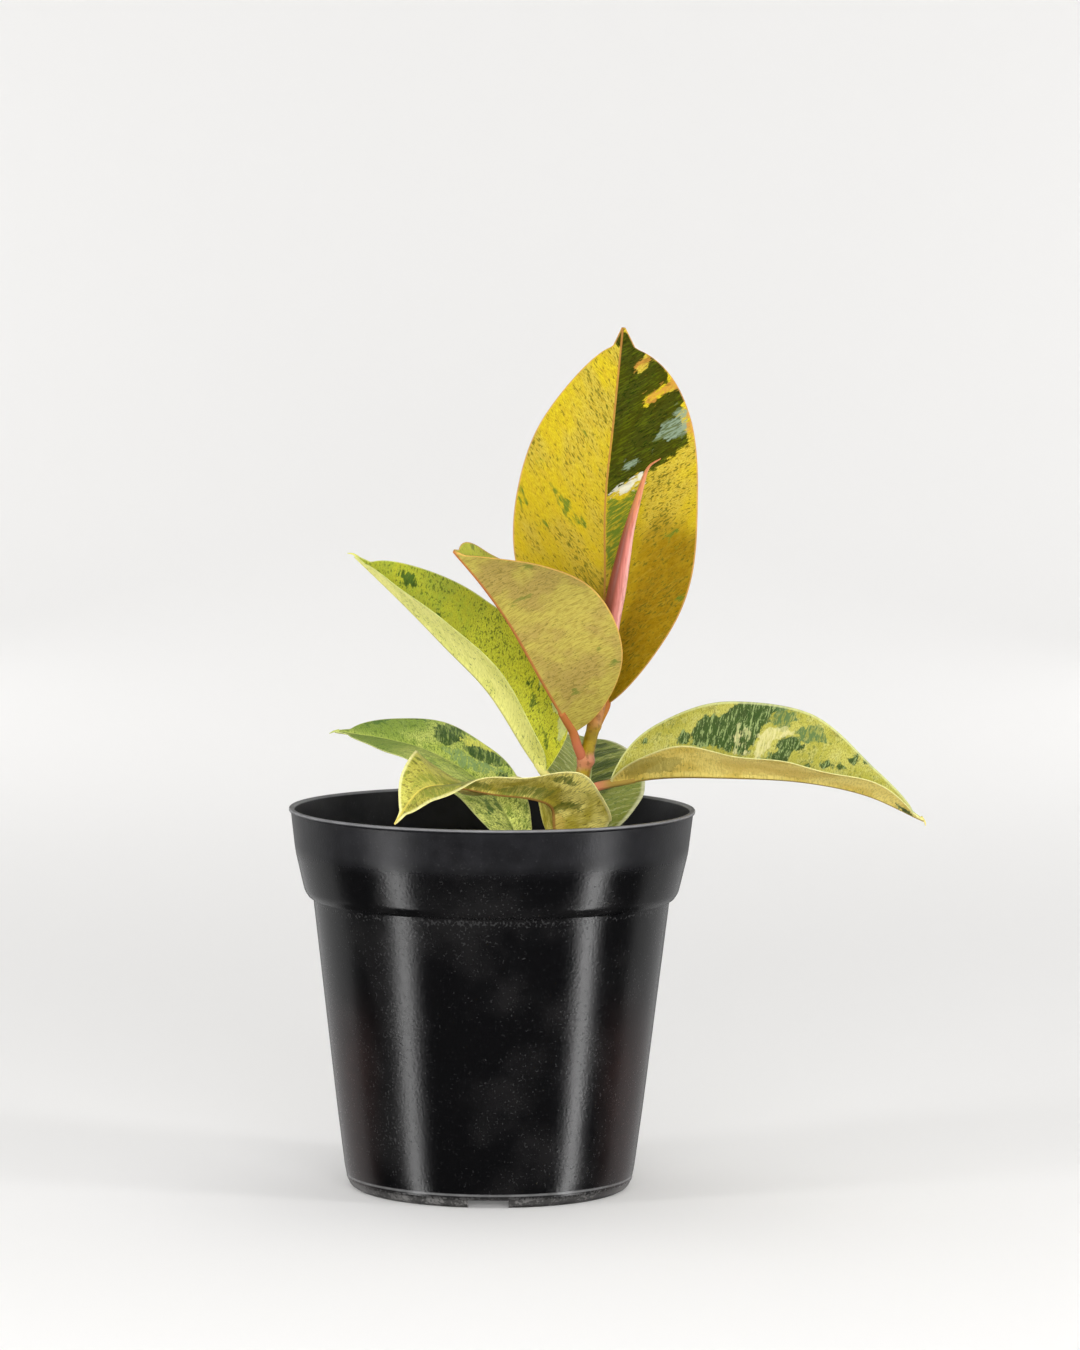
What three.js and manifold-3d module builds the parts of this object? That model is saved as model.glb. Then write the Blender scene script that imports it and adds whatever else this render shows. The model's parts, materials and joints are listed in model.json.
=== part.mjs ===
// Variegated rubber plant in a black plastic nursery pot.
// Millimetres, +Z up. The origin is the centre of the pot's base and the front of the plant faces -Y.
import * as THREE from "three";
import { LoftGeometry } from "three/addons/geometries/LoftGeometry.js";
import { mergeVertices } from "three/addons/utils/BufferGeometryUtils.js";
import Module from "manifold-3d";

const wasm = await Module();
wasm.setup();

// Clearance that separate pieces keep from each other.
const GAP = 0.3;

// Pot: thin wall, stepped collar with a fine lip, foot ring with drain notches.
const POT_SIDES = 56;
const POT_HEIGHT = 141;
const RIM_RADIUS = 75;
const LIP_HEIGHT = 1.1;
const WALL = 1.6;
const COLLAR_BOTTOM = 108;
const COLLAR_FOOT_RADIUS = 69.5;
const COLLAR_FOOT_HEIGHT = 4.5;
const COLLAR_BEND_HEIGHT = 125.2;
const COLLAR_BEND_RADIUS = 72.6;
const BODY_TOP_RADIUS = 65.9;
const BODY_LOW_HEIGHT = 29.7;
const BODY_LOW_RADIUS = 56.6;
const CREASE_HEIGHT = 3.9;
const CREASE_RADIUS = 52.7;
const CORNER_HEIGHT = 8;
const FOOT_RADIUS = 49.6;
const FOOT_WIDTH = 2.4;
const FLOOR_UNDERSIDE = 4;
const FLOOR_TOP = 6;
const SMALL_ROUNDING = 0.3;
const CENTRE_PAD_RADIUS = 10;
const NOTCH_COUNT = 3;
const NOTCH_WIDTH = 14.8;
const NOTCH_DEPTH = 14;
const NOTCH_HEIGHT = 3.2;
const DRAIN_COUNT = 6;
const DRAIN_RADIUS = 4;
const DRAIN_CIRCLE = 33;
const DRAIN_LENGTH = 8;
const DRAIN_SIDES = 12;

// Potting mix: its surface lies below the rim, with low mounds.
const SOIL_SIDES = 32;
const SOIL_TOP = 113;
const SOIL_RELIEF = 1.3;
const SOIL_CLEARANCE = 0.45;
const SOIL_RING_SHARES = [0.97, 0.85, 0.65, 0.45, 0.25, 0.04];

// Stem: axis points from below the soil to the growing tip, and the radius at each of them. Nodes
// are low swellings, each a height and how far it stands out.
const STEM_AXIS = [
  [26, 0, 71], [26.5, 0, 96], [27.5, 0, 116], [29.5, 0, 131], [31.5, 0, 144],
  [34, 0, 157], [36.5, 0, 168.5], [39.5, 0, 179], [42, 0, 194], [43, 0, 201],
];
const STEM_RADIUS = [2.6, 3, 3.1, 3, 2.8, 2.7, 2.4, 2, 1.6, 1.4];
const STEM_NODES = [[119, 0.5], [125, 0.5], [139, 0.5], [147, 0.5], [159, 0.8], [172, 0.5]];
const STEM_NODE_REACH = 1.8;
const STEM_STEPS = 30;
const STEM_SIDES = 8;

// Sheath: the rolled new leaf, pink, on the growing tip.
const SHEATH_AXIS = [
  [42.6, 0, 198], [43.3, 0, 203.5], [44.2, 0, 211], [46.2, -1, 222], [48, -2, 233.5], [50, -3, 244.5],
  [53, -4, 255.5], [55.5, -5, 265], [57, -6, 268.5], [60.5, -6.5, 270.5],
];
const SHEATH_RADIUS = [2.3, 2.5, 2.7, 3, 2.6, 2, 1.4, 0.8, 0.55, 0.4];
const SHEATH_STEPS = 18;
const SHEATH_SIDES = 8;

// Plain colour and roughness of the pieces that aren't leaves, and the leaves' shared roughness.
const PIECE_FINISH = {
  pot: [0x1c1c1e, 0.42],
  potting_soil: [0x2e2219, 0.95],
  stem: [0x8a7434, 0.6],
  new_leaf_sheath: [0xd88f80, 0.5],
};
const LEAF_ROUGHNESS = 0.4;

// Leaves share one blade rule: a midrib through a few points, a broad outline with a drip tip, and
// two halves folded up from the midrib. Folds are in degrees and sizes are factors, each given
// from the leaf's base to its tip. `up` is the side that the upper face looks to, and `petiole`
// runs from the stem's axis to the base of the blade.
const THICKNESS = 0.8;
const KEEL_DEPTH = 1.5;
const KEEL_TAPER = 0.75;
const KEEL_HALF_WIDTH = 1.5;
const KEEL_MOST_SHARE = 0.3;
const BLADE_ROWS = 18;
const ROW_CROWDING = 1.25;
const HALF_COLUMNS = [0.38, 0.7, 1];
const TIP_START = 0.955;
const TIP_WIDTH = 0.1;
const END_WIDTH = 0.02;
const TIP_FADE_START = 0.6;
const TIP_FADE_LENGTH = 0.3;
const OUTER_FULLNESS = 0.5;
const PETIOLE_TAPER = 0.3;
const PETIOLE_SINK = 0.2;
const PETIOLE_RUN_UNDER = [0, 0.05, 0.1];
const PETIOLE_STEPS = 8;
const PETIOLE_SIDES = 8;
const LEAVES = {
  leaf_upright: {
    colour: 0xc0a83c,
    petiole: [[37, 0, 169], [39.5, 2.5, 174]],
    petioleRadius: 1.8,
    midrib: [[42, 4, 179.5], [41, 8, 203], [41, 12, 227.5], [41, 16, 254.5], [44, 20, 285.5], [47, 22, 318]],
    up: [[0, -1, 0.1]],
    halfWidth: 34,
    left: { fold: [25, 15, 8, 5, 5, 5], size: [1, 1, 1, 1, 0.98, 0.7], wave: [0.5, 3, 0.1] },
    right: { fold: [25, 15, 8, 5, 5, 5], size: [1.1, 1.05, 1, 1.04, 1.18, 1.4], wave: [0.5, 3, 0.6] },
    base: 0.7,
    widest: 0.5,
  },
  leaf_folded: {
    colour: 0xb6a850,
    petiole: [[34, 0, 158], [31.5, -3.5, 164]],
    petioleRadius: 1.9,
    midrib: [[30, -6, 170.5], [19, -26, 190.5], [7, -48, 213], [-3, -68, 228.5], [-13.5, -86, 242]],
    up: [[0.6, 0.6, 0.5]],
    halfWidth: 33,
    left: { fold: [40, 40, 45, 40, 25], size: [0.95, 1.06, 1, 0.88, 0.6], wave: [0, 0, 0] },
    right: { fold: [55, 58, 60, 62, 55], size: [1, 0.9, 0.7, 0.55, 0.78], wave: [0, 0, 0] },
    base: 0.6,
    widest: 0.45,
  },
  leaf_left_arching: {
    colour: 0xa8ae3c,
    petiole: [[30.5, 0, 139], [25.5, 0, 147]],
    petioleRadius: 1.8,
    midrib: [[19.5, 0, 154.5], [13, 2, 163], [-1, 6, 184], [-18, 10, 201], [-33.5, 15, 216],
      [-51.5, 20, 232.5]],
    up: [[0.66, -0.42, 0.62]],
    halfWidth: 30,
    left: { fold: [60, 50, 47, 40, 35, 35], size: [0.8, 0.72, 0.8, 1, 1, 1], wave: [0, 0, 0] },
    right: { fold: [35], size: [1.1, 1, 1, 0.87, 0.84, 0.7], wave: [0.6, 3, 0.2] },
    base: 0.7,
    widest: 0.5,
  },
  leaf_left_low: {
    colour: 0x8aa046,
    petiole: [[27.5, 0, 117], [20, -1, 117.5]],
    petioleRadius: 1.7,
    midrib: [[13.5, -2, 121], [7.5, 2, 134.5], [0, 8, 145.5], [-11, 14, 154], [-25, 20, 160.5],
      [-40, 25, 164], [-59, 28, 166.5]],
    up: [[0.2, -0.3, 0.9]],
    halfWidth: 25,
    left: { fold: [10], size: [1], wave: [0.6, 3, 0.4] },
    right: { fold: [8], size: [0.6, 0.62, 0.67, 0.79, 0.97, 1, 1], wave: [0.6, 3, 0] },
    base: 0.7,
    widest: 0.5,
  },
  leaf_right: {
    colour: 0xb8b462,
    petiole: [[32, 0, 145.5], [37.5, -3, 149]],
    petioleRadius: 1.9,
    midrib: [[43.5, -4, 151.5], [62, -6, 154.5], [85.5, -10, 155], [113, -14, 154], [137, -18, 149.5],
      [158.5, -20, 140]],
    up: [[0, -0.25, 0.95]],
    halfWidth: 31,
    left: { fold: [42, 42, 42, 42, 40, 35], size: [1.15, 1.08, 1.03, 0.9, 0.5, 0.3],
      wave: [0.8, 3, 0.3] },
    right: { fold: [46, 46, 40, 30, 36, 35], size: [1, 0.95, 0.88, 0.95, 0.9, 0.8],
      wave: [1.2, 3.5, 0.2] },
    base: 0.7,
    widest: 0.5,
  },
  leaf_front: {
    colour: 0xb4a84a,
    petiole: [[28.5, 0, 123], [25.5, -5.5, 123.5]],
    petioleRadius: 1.8,
    midrib: [[24, -10, 128], [23.5, -14, 136.5], [22, -22, 145], [14, -36, 149.5], [1.5, -48, 152],
      [-13, -60, 155.5], [-25, -70, 155], [-34.5, -74, 143]],
    up: [[0.56, 0.8, 0.2], [0.56, 0.8, 0.2], [0.45, 0.75, 0.5], [0.05, 0.2, 1], [0, 0, 1],
      [-0.05, -0.35, 1], [-0.15, -0.88, 0.5], [-0.5, -0.8, 0]],
    halfWidth: 26,
    left: { fold: [34, 34, 20, 20, 24, 26, 20, 20], size: [1, 1, 0.8, 0.86, 0.74, 0.62, 0.6, 0.8],
      wave: [0.8, 4, 0.5] },
    right: { fold: [34, 34, 15, 2, -4, 10, 15, 20], size: [1, 1, 0.9, 0.8, 0.85, 1, 0.7, 0.2],
      wave: [0, 0, 0] },
    base: 0.5,
    widest: 0.42,
  },
  leaf_back: {
    colour: 0x8ea468,
    petiole: [[28.5, 0, 120], [30.5, 4.5, 122]],
    petioleRadius: 1.7,
    midrib: [[32.5, 8, 127], [34, 20, 135.5], [36, 40, 144.5], [37, 62, 153], [36, 90, 159.5]],
    up: [[0, -0.6, 0.8]],
    halfWidth: 21,
    left: { fold: [30], size: [1], wave: [0, 0, 0] },
    right: { fold: [5], size: [1], wave: [0.6, 3, 0.3] },
    base: 0.6,
    widest: 0.5,
  },
};

// A number that changes smoothly along evenly spaced stations, at t from 0 to 1.
function along(values, t) {
  const last = values.length - 1;
  if (last === 0) return values[0];
  const place = Math.min(Math.max(t, 0), 1) * last;
  const i = Math.min(Math.floor(place), last - 1);
  const f = place - i;
  const b = values[i];
  const c = values[i + 1];
  const a = i > 0 ? values[i - 1] : 2 * b - c;
  const d = i + 2 <= last ? values[i + 2] : 2 * c - b;
  const square = 2 * a - 5 * b + 4 * c - d;
  const cube = 3 * b - a - 3 * c + d;
  return 0.5 * (2 * b + (c - a) * f + square * f * f + cube * f * f * f);
}

// A point or direction that changes smoothly along evenly spaced stations.
function pointAlong(points, t) {
  return new THREE.Vector3(...[0, 1, 2].map((axis) => along(points.map((p) => p[axis]), t)));
}

// Merges vertices and drops triangles without area, so that a geometry is one closed mesh.
function closedMesh(geometry) {
  const bare = new THREE.BufferGeometry();
  bare.setAttribute("position", geometry.attributes.position);
  bare.setIndex(geometry.index);
  const merged = mergeVertices(bare, 1e-4);
  const index = merged.index.array;
  const triangles = [];
  for (let i = 0; i < index.length; i += 3) {
    const [a, b, c] = [index[i], index[i + 1], index[i + 2]];
    if (a !== b && b !== c && c !== a) triangles.push(a, b, c);
  }
  return { points: merged.attributes.position.array, triangles };
}

function toManifold(geometry) {
  const { points, triangles } = closedMesh(geometry);
  const mesh = new wasm.Mesh({
    numProp: 3,
    vertProperties: new Float32Array(points),
    triVerts: new Uint32Array(triangles),
  });
  return new wasm.Manifold(mesh);
}

function toGeometry(manifold) {
  const mesh = manifold.getMesh();
  const geometry = new THREE.BufferGeometry();
  geometry.setAttribute("position", new THREE.BufferAttribute(new Float32Array(mesh.vertProperties), 3));
  geometry.setIndex(new THREE.BufferAttribute(new Uint32Array(mesh.triVerts), 1));
  geometry.computeVertexNormals();
  return geometry;
}

// Points on a round ring across a direction.
function ring(centre, direction, radius, sides) {
  const first = new THREE.Vector3(1, 0, 0);
  if (Math.abs(direction.x) > 0.8) first.set(0, 1, 0);
  const across = first.cross(direction).normalize();
  const upward = direction.clone().cross(across).normalize();
  return Array.from({ length: sides }, (_, k) => {
    const angle = (2 * Math.PI * k) / sides;
    return centre.clone()
      .addScaledVector(across, radius * Math.cos(angle))
      .addScaledVector(upward, radius * Math.sin(angle));
  });
}

// A round solid along an axis of points, with its own radius at each step.
function tube(axis, radiusAt, steps, sides) {
  const rings = Array.from({ length: steps + 1 }, (_, i) => {
    const t = i / steps;
    const ahead = pointAlong(axis, Math.min(t + 0.01, 1));
    const direction = ahead.sub(pointAlong(axis, Math.max(t - 0.01, 0))).normalize();
    const centre = pointAlong(axis, t);
    return ring(centre, direction, radiusAt(t, centre), sides);
  });
  return new LoftGeometry(rings, { closed: true, capStart: true, capEnd: true });
}

// Closed profile of the pot in radius and height: underside, foot, outer wall, collar, lip, inside.
function potProfile() {
  const underside = [
    [0, 0],
    [CENTRE_PAD_RADIUS, 0],
    [CENTRE_PAD_RADIUS + WALL, FLOOR_UNDERSIDE],
    [FOOT_RADIUS - FOOT_WIDTH - SMALL_ROUNDING, FLOOR_UNDERSIDE],
    [FOOT_RADIUS - FOOT_WIDTH, 0],
    [FOOT_RADIUS, 0],
  ];
  const body = [
    [FOOT_RADIUS + WALL, 0.2 * CREASE_HEIGHT],
    [CREASE_RADIUS - SMALL_ROUNDING, 0.6 * CREASE_HEIGHT],
    [CREASE_RADIUS, CREASE_HEIGHT],
    [CREASE_RADIUS + 1, CORNER_HEIGHT],
    [BODY_LOW_RADIUS, BODY_LOW_HEIGHT],
    [BODY_TOP_RADIUS, COLLAR_BOTTOM - SMALL_ROUNDING],
  ];
  const collar = [
    [BODY_TOP_RADIUS + WALL, COLLAR_BOTTOM + SMALL_ROUNDING],
    [COLLAR_FOOT_RADIUS - 2 * SMALL_ROUNDING, COLLAR_BOTTOM + 0.5 * COLLAR_FOOT_HEIGHT],
    [COLLAR_FOOT_RADIUS, COLLAR_BOTTOM + COLLAR_FOOT_HEIGHT],
    [COLLAR_BEND_RADIUS, COLLAR_BEND_HEIGHT],
    [RIM_RADIUS - 2 * SMALL_ROUNDING, POT_HEIGHT - LIP_HEIGHT - SMALL_ROUNDING],
  ];
  const lip = [
    [RIM_RADIUS, POT_HEIGHT - LIP_HEIGHT],
    [RIM_RADIUS, POT_HEIGHT - SMALL_ROUNDING],
    [RIM_RADIUS - SMALL_ROUNDING, POT_HEIGHT],
    [RIM_RADIUS - WALL, POT_HEIGHT],
    [RIM_RADIUS - WALL - SMALL_ROUNDING, POT_HEIGHT - SMALL_ROUNDING],
  ];
  return [...underside, ...body, ...collar, ...lip, ...innerWall(0).reverse(), [0, FLOOR_TOP]];
}

// Inner wall of the pot from the floor up, moved in by a clearance.
function innerWall(clearance) {
  const wall = [
    [CREASE_RADIUS + 1 - 2 * WALL, FLOOR_TOP],
    [CREASE_RADIUS + 1 - WALL, CORNER_HEIGHT],
    [BODY_LOW_RADIUS - WALL, BODY_LOW_HEIGHT],
    [BODY_TOP_RADIUS - WALL, COLLAR_BOTTOM - WALL],
    [COLLAR_FOOT_RADIUS - WALL - 3 * SMALL_ROUNDING, COLLAR_BOTTOM + 0.4 * COLLAR_FOOT_HEIGHT],
    [COLLAR_FOOT_RADIUS - WALL, COLLAR_BOTTOM + COLLAR_FOOT_HEIGHT],
    [COLLAR_BEND_RADIUS - WALL, COLLAR_BEND_HEIGHT],
  ];
  return wall.map(([radius, height]) => [radius - clearance, height]);
}

function buildPot() {
  const profile = potProfile().map(([radius, height]) => new THREE.Vector2(radius, height));
  const lathe = new THREE.LatheGeometry(profile, POT_SIDES);
  lathe.rotateX(Math.PI / 2);
  let pot = toManifold(lathe);
  for (let k = 0; k < NOTCH_COUNT; k += 1) {
    const notch = new THREE.BoxGeometry(NOTCH_WIDTH, NOTCH_DEPTH, 2 * NOTCH_HEIGHT);
    notch.translate(0, -FOOT_RADIUS, 0);
    notch.rotateZ((2 * Math.PI * k) / NOTCH_COUNT);
    pot = pot.subtract(toManifold(notch));
  }
  for (let k = 0; k < DRAIN_COUNT; k += 1) {
    const drain = new THREE.CylinderGeometry(DRAIN_RADIUS, DRAIN_RADIUS, DRAIN_LENGTH, DRAIN_SIDES);
    drain.rotateX(Math.PI / 2);
    drain.translate(0, DRAIN_CIRCLE, (FLOOR_UNDERSIDE + FLOOR_TOP) / 2);
    drain.rotateZ((2 * Math.PI * (k + 0.5)) / DRAIN_COUNT);
    pot = pot.subtract(toManifold(drain));
  }
  return toGeometry(pot);
}

function stemRadius(t, centre) {
  let radius = along(STEM_RADIUS, t);
  for (const [height, size] of STEM_NODES) {
    radius += size * Math.exp(-(((centre.z - height) / STEM_NODE_REACH) ** 2));
  }
  return radius;
}

// The stem, or the same shape with a clearance round it, for what stands against it.
function stemTube(clearance) {
  return tube(STEM_AXIS, (t, centre) => stemRadius(t, centre) + clearance, STEM_STEPS, STEM_SIDES);
}

// Height of the potting mix at a place: two crossing swells, about 50 mm long, that fade out
// towards the wall.
function soilHeight(x, y, share) {
  const swell = Math.sin(x * 0.13 + 1) * Math.cos(y * 0.11);
  const crossSwell = Math.sin(x * 0.07 - y * 0.19);
  return SOIL_TOP + SOIL_RELIEF * (swell + 0.6 * crossSwell) * (1 - share ** 4);
}

function buildSoil() {
  const wall = innerWall(SOIL_CLEARANCE).filter(([, height]) => height < SOIL_TOP);
  wall[0][1] = FLOOR_TOP + GAP;
  const topRadius = wall[wall.length - 1][0];
  const circle = (radius, heightAt) => Array.from({ length: SOIL_SIDES }, (_, k) => {
    const angle = (2 * Math.PI * k) / SOIL_SIDES;
    const x = radius * Math.cos(angle);
    const y = radius * Math.sin(angle);
    return new THREE.Vector3(x, y, heightAt(x, y));
  });
  const rings = wall.map(([radius, height]) => circle(radius, () => height));
  for (const share of SOIL_RING_SHARES) {
    rings.push(circle(topRadius * share, (x, y) => soilHeight(x, y, share)));
  }
  const body = new LoftGeometry(rings, { closed: true, capStart: true, capEnd: true });
  return toGeometry(toManifold(body).subtract(toManifold(stemTube(GAP))));
}

function buildSheath() {
  const body = tube(SHEATH_AXIS, (t) => along(SHEATH_RADIUS, t), SHEATH_STEPS, SHEATH_SIDES);
  return toGeometry(toManifold(body).subtract(toManifold(stemTube(GAP))));
}

// Share of the full half width at t: a broad ellipse that ends in a narrow drip tip.
function outline(t, leaf) {
  const power = Math.log(0.5) / Math.log(leaf.widest / TIP_START);
  const fullness = t < leaf.widest ? leaf.base : OUTER_FULLNESS;
  const body = Math.max(Math.sin(Math.PI * Math.min(t / TIP_START, 1) ** power), 0) ** fullness;
  const fade = Math.min(Math.max((t - TIP_FADE_START) / TIP_FADE_LENGTH, 0), 1);
  const tip = TIP_WIDTH * Math.min((1 - t) / (1 - TIP_START), 1) * fade + END_WIDTH;
  return Math.hypot(body, tip);
}

// The frame of the leaf at t: point, direction, upper side and the direction to the right half.
function leafFrame(leaf, t) {
  const step = 0.001;
  const ahead = pointAlong(leaf.midrib, Math.min(t + step, 1));
  const tangent = ahead.sub(pointAlong(leaf.midrib, Math.max(t - step, 0))).normalize();
  const up = pointAlong(leaf.up, t);
  up.addScaledVector(tangent, -up.dot(tangent)).normalize();
  const side = tangent.clone().cross(up);
  return { point: pointAlong(leaf.midrib, t), tangent, up, side };
}

// Upper points of one half at t, from beside the midrib out to the margin.
function halfPoints(leaf, frame, t, half, sign) {
  const width = leaf.halfWidth * outline(t, leaf) * along(half.size, t);
  const fold = THREE.MathUtils.degToRad(along(half.fold, t));
  const outward = frame.side.clone().multiplyScalar(sign * Math.cos(fold))
    .addScaledVector(frame.up, Math.sin(fold));
  const normal = frame.side.clone().multiplyScalar(-sign * Math.sin(fold))
    .addScaledVector(frame.up, Math.cos(fold));
  const [height, count, phase] = half.wave;
  const wave = height * Math.sin(2 * Math.PI * (count * t + phase)) * Math.sin(Math.PI * t);
  const beside = Math.min(KEEL_HALF_WIDTH / width, KEEL_MOST_SHARE);
  return [beside, ...HALF_COLUMNS].map((share) => {
    const top = frame.point.clone()
      .addScaledVector(outward, width * share)
      .addScaledVector(normal, wave * share * share);
    return { top, bottom: top.clone().addScaledVector(normal, -THICKNESS) };
  });
}

// One row of the blade from the left margin to the right one, with the keel under the midrib.
function bladeRow(leaf, t) {
  const frame = leafFrame(leaf, t);
  const left = halfPoints(leaf, frame, t, leaf.left, -1).reverse();
  const right = halfPoints(leaf, frame, t, leaf.right, 1);
  const keel = THICKNESS + KEEL_DEPTH * (1 - KEEL_TAPER * t);
  const middle = { top: frame.point, bottom: frame.point.clone().addScaledVector(frame.up, -keel) };
  return [...left, middle, ...right];
}

// The blade as one closed solid. Both faces are split along the same diagonals.
function bladeGeometry(leaf) {
  const rows = [];
  for (let i = 0; i <= BLADE_ROWS; i += 1) {
    rows.push(bladeRow(leaf, 1 - (1 - i / BLADE_ROWS) ** ROW_CROWDING));
  }
  const columns = rows[0].length;
  const points = [];
  for (const face of ["top", "bottom"]) {
    for (const row of rows) {
      for (const place of row) points.push(place[face].x, place[face].y, place[face].z);
    }
  }
  const bottomStart = rows.length * columns;
  const triangles = [];
  const quad = (a, b, c, d) => triangles.push(a, b, c, a, c, d);
  for (let i = 0; i < BLADE_ROWS; i += 1) {
    for (let j = 0; j + 1 < columns; j += 1) {
      const a = i * columns + j;
      const b = a + 1;
      const c = b + columns;
      const d = a + columns;
      quad(a, b, c, d);
      triangles.push(bottomStart + a, bottomStart + c, bottomStart + b);
      triangles.push(bottomStart + a, bottomStart + d, bottomStart + c);
    }
    const left = i * columns;
    quad(left, left + columns, left + columns + bottomStart, left + bottomStart);
    const right = left + columns - 1;
    quad(right, right + bottomStart, right + columns + bottomStart, right + columns);
  }
  for (let j = 0; j + 1 < columns; j += 1) {
    const end = BLADE_ROWS * columns + j;
    quad(j, j + bottomStart, j + 1 + bottomStart, j + 1);
    quad(end, end + 1, end + 1 + bottomStart, end + bottomStart);
  }
  const geometry = new THREE.BufferGeometry();
  geometry.setAttribute("position", new THREE.BufferAttribute(new Float32Array(points), 3));
  geometry.setIndex(triangles);
  return geometry;
}

// The stalk from the stem's axis to a little way along the underside of the blade.
function petioleGeometry(leaf) {
  const under = PETIOLE_RUN_UNDER.map((t) => {
    const frame = leafFrame(leaf, t);
    return frame.point.addScaledVector(frame.up, -THICKNESS - PETIOLE_SINK).toArray();
  });
  const radiusAt = (t) => leaf.petioleRadius * (1 - PETIOLE_TAPER * t);
  return tube([...leaf.petiole, ...under], radiusAt, PETIOLE_STEPS, PETIOLE_SIDES);
}

function buildLeaf(leaf) {
  const blade = toManifold(bladeGeometry(leaf));
  const petiole = toManifold(petioleGeometry(leaf));
  return toGeometry(blade.add(petiole).subtract(toManifold(stemTube(GAP))));
}

const plant = new THREE.Group();

function addPiece(name, geometry, [colour, roughness]) {
  const material = new THREE.MeshStandardMaterial({ color: colour, roughness, metalness: 0 });
  const mesh = new THREE.Mesh(geometry, material);
  mesh.name = name;
  plant.add(mesh);
}

addPiece("pot", buildPot(), PIECE_FINISH.pot);
addPiece("potting_soil", buildSoil(), PIECE_FINISH.potting_soil);
addPiece("stem", toGeometry(toManifold(stemTube(0))), PIECE_FINISH.stem);
addPiece("new_leaf_sheath", buildSheath(), PIECE_FINISH.new_leaf_sheath);
for (const [name, leaf] of Object.entries(LEAVES)) {
  addPiece(name, buildLeaf(leaf), [leaf.colour, LEAF_ROUGHNESS]);
}

export default plant;
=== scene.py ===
"""A young variegated rubber plant in its black nursery pot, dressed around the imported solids.

Sizes are in millimetres until a mesh is made, and in metres from there on.
"""
import json
import math

import bpy
import numpy as np
from mathutils import Matrix, noise

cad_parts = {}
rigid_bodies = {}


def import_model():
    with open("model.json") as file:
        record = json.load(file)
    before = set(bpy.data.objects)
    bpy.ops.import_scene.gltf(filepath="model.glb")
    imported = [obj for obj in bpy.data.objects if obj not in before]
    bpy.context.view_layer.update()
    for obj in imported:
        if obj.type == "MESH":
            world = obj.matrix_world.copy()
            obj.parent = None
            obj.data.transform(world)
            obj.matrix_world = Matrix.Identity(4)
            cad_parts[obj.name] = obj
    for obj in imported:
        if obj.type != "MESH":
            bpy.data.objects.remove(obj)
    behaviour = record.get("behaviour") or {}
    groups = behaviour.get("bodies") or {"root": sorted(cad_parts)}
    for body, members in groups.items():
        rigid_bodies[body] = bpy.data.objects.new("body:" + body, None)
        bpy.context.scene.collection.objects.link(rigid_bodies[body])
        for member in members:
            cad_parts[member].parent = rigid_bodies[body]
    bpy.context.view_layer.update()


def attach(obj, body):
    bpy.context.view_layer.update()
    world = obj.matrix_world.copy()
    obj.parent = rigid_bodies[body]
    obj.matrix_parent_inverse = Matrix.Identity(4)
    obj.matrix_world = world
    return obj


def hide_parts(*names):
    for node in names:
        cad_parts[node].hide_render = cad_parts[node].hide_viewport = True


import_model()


# Studio. A wide sheet of pale paper lies under the pot and bends up behind it; five washes, and a
# faint lift of its own, keep it even. Two tall narrow softboxes, left and right of the pot, draw the
# upright lights on it, and large panels light the leaves from above, in front and behind.
MM = 0.001
CAMERA_PLACE = (17.3 * MM, -2350 * MM, 396 * MM)
CAMERA_PITCH_DOWN = math.radians(5.0)
CAMERA_ROLL = math.radians(0.45)
CAMERA_LENS = 170.6
SWEEP_COLOUR = (0.81, 0.803, 0.793, 1)
SWEEP_LIFT = 0.14
SWEEP_HALF_WIDTH = 9000
SWEEP_FRONT = -9000
SWEEP_FLAT_START = -800
SWEEP_BEND_START = 1500
SWEEP_BEND_RADIUS = 2400
SWEEP_BEND_STEPS = 16
SWEEP_HEIGHT = 3600
PANELS = {
    # name: place, target, width, height (mm), watts, visible in reflections
    "strip_left": ((-1049, -593, -100), (0, 0, -100), 210, 1500, 12, True),
    "strip_right": ((1110, -468, -100), (0, 0, -100), 190, 1500, 14, True),
    "key_left": ((-1300, -1500, 1500), (20, 0, 180), 1100, 1100, 4, False),
    "fill_right": ((1500, -1100, 900), (20, 0, 180), 1100, 1100, 2.5, False),
    "fill_front": ((100, -1900, 450), (20, 0, 150), 1500, 420, 34, False),
    "back_left": ((-1150, 1250, 100), (0, 0, 60), 1900, 2400, 9, True),
    "back_right": ((1150, 1250, 100), (0, 0, 60), 1900, 2400, 8, True),
    "top": ((0, 200, 1900), (0, 0, 100), 1600, 1600, 7.5, False),
    "wall_wash_left": ((-1500, 1700, 1500), (-300, 3600, 800), 1000, 1000, 16, False),
    "wall_wash_right": ((1500, 1700, 1500), (300, 3600, 800), 1000, 1000, 16, False),
    "floor_wash_left": ((-2200, 0, 2500), (-5000, 0, 0), 3000, 1500, 30, False),
    "floor_wash_right": ((2200, 0, 2500), (5000, 0, 0), 3000, 1500, 30, False),
    "floor_wash_front": ((0, -1950, 1400), (0, -3300, 0), 3000, 1000, 30, False),
}


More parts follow.
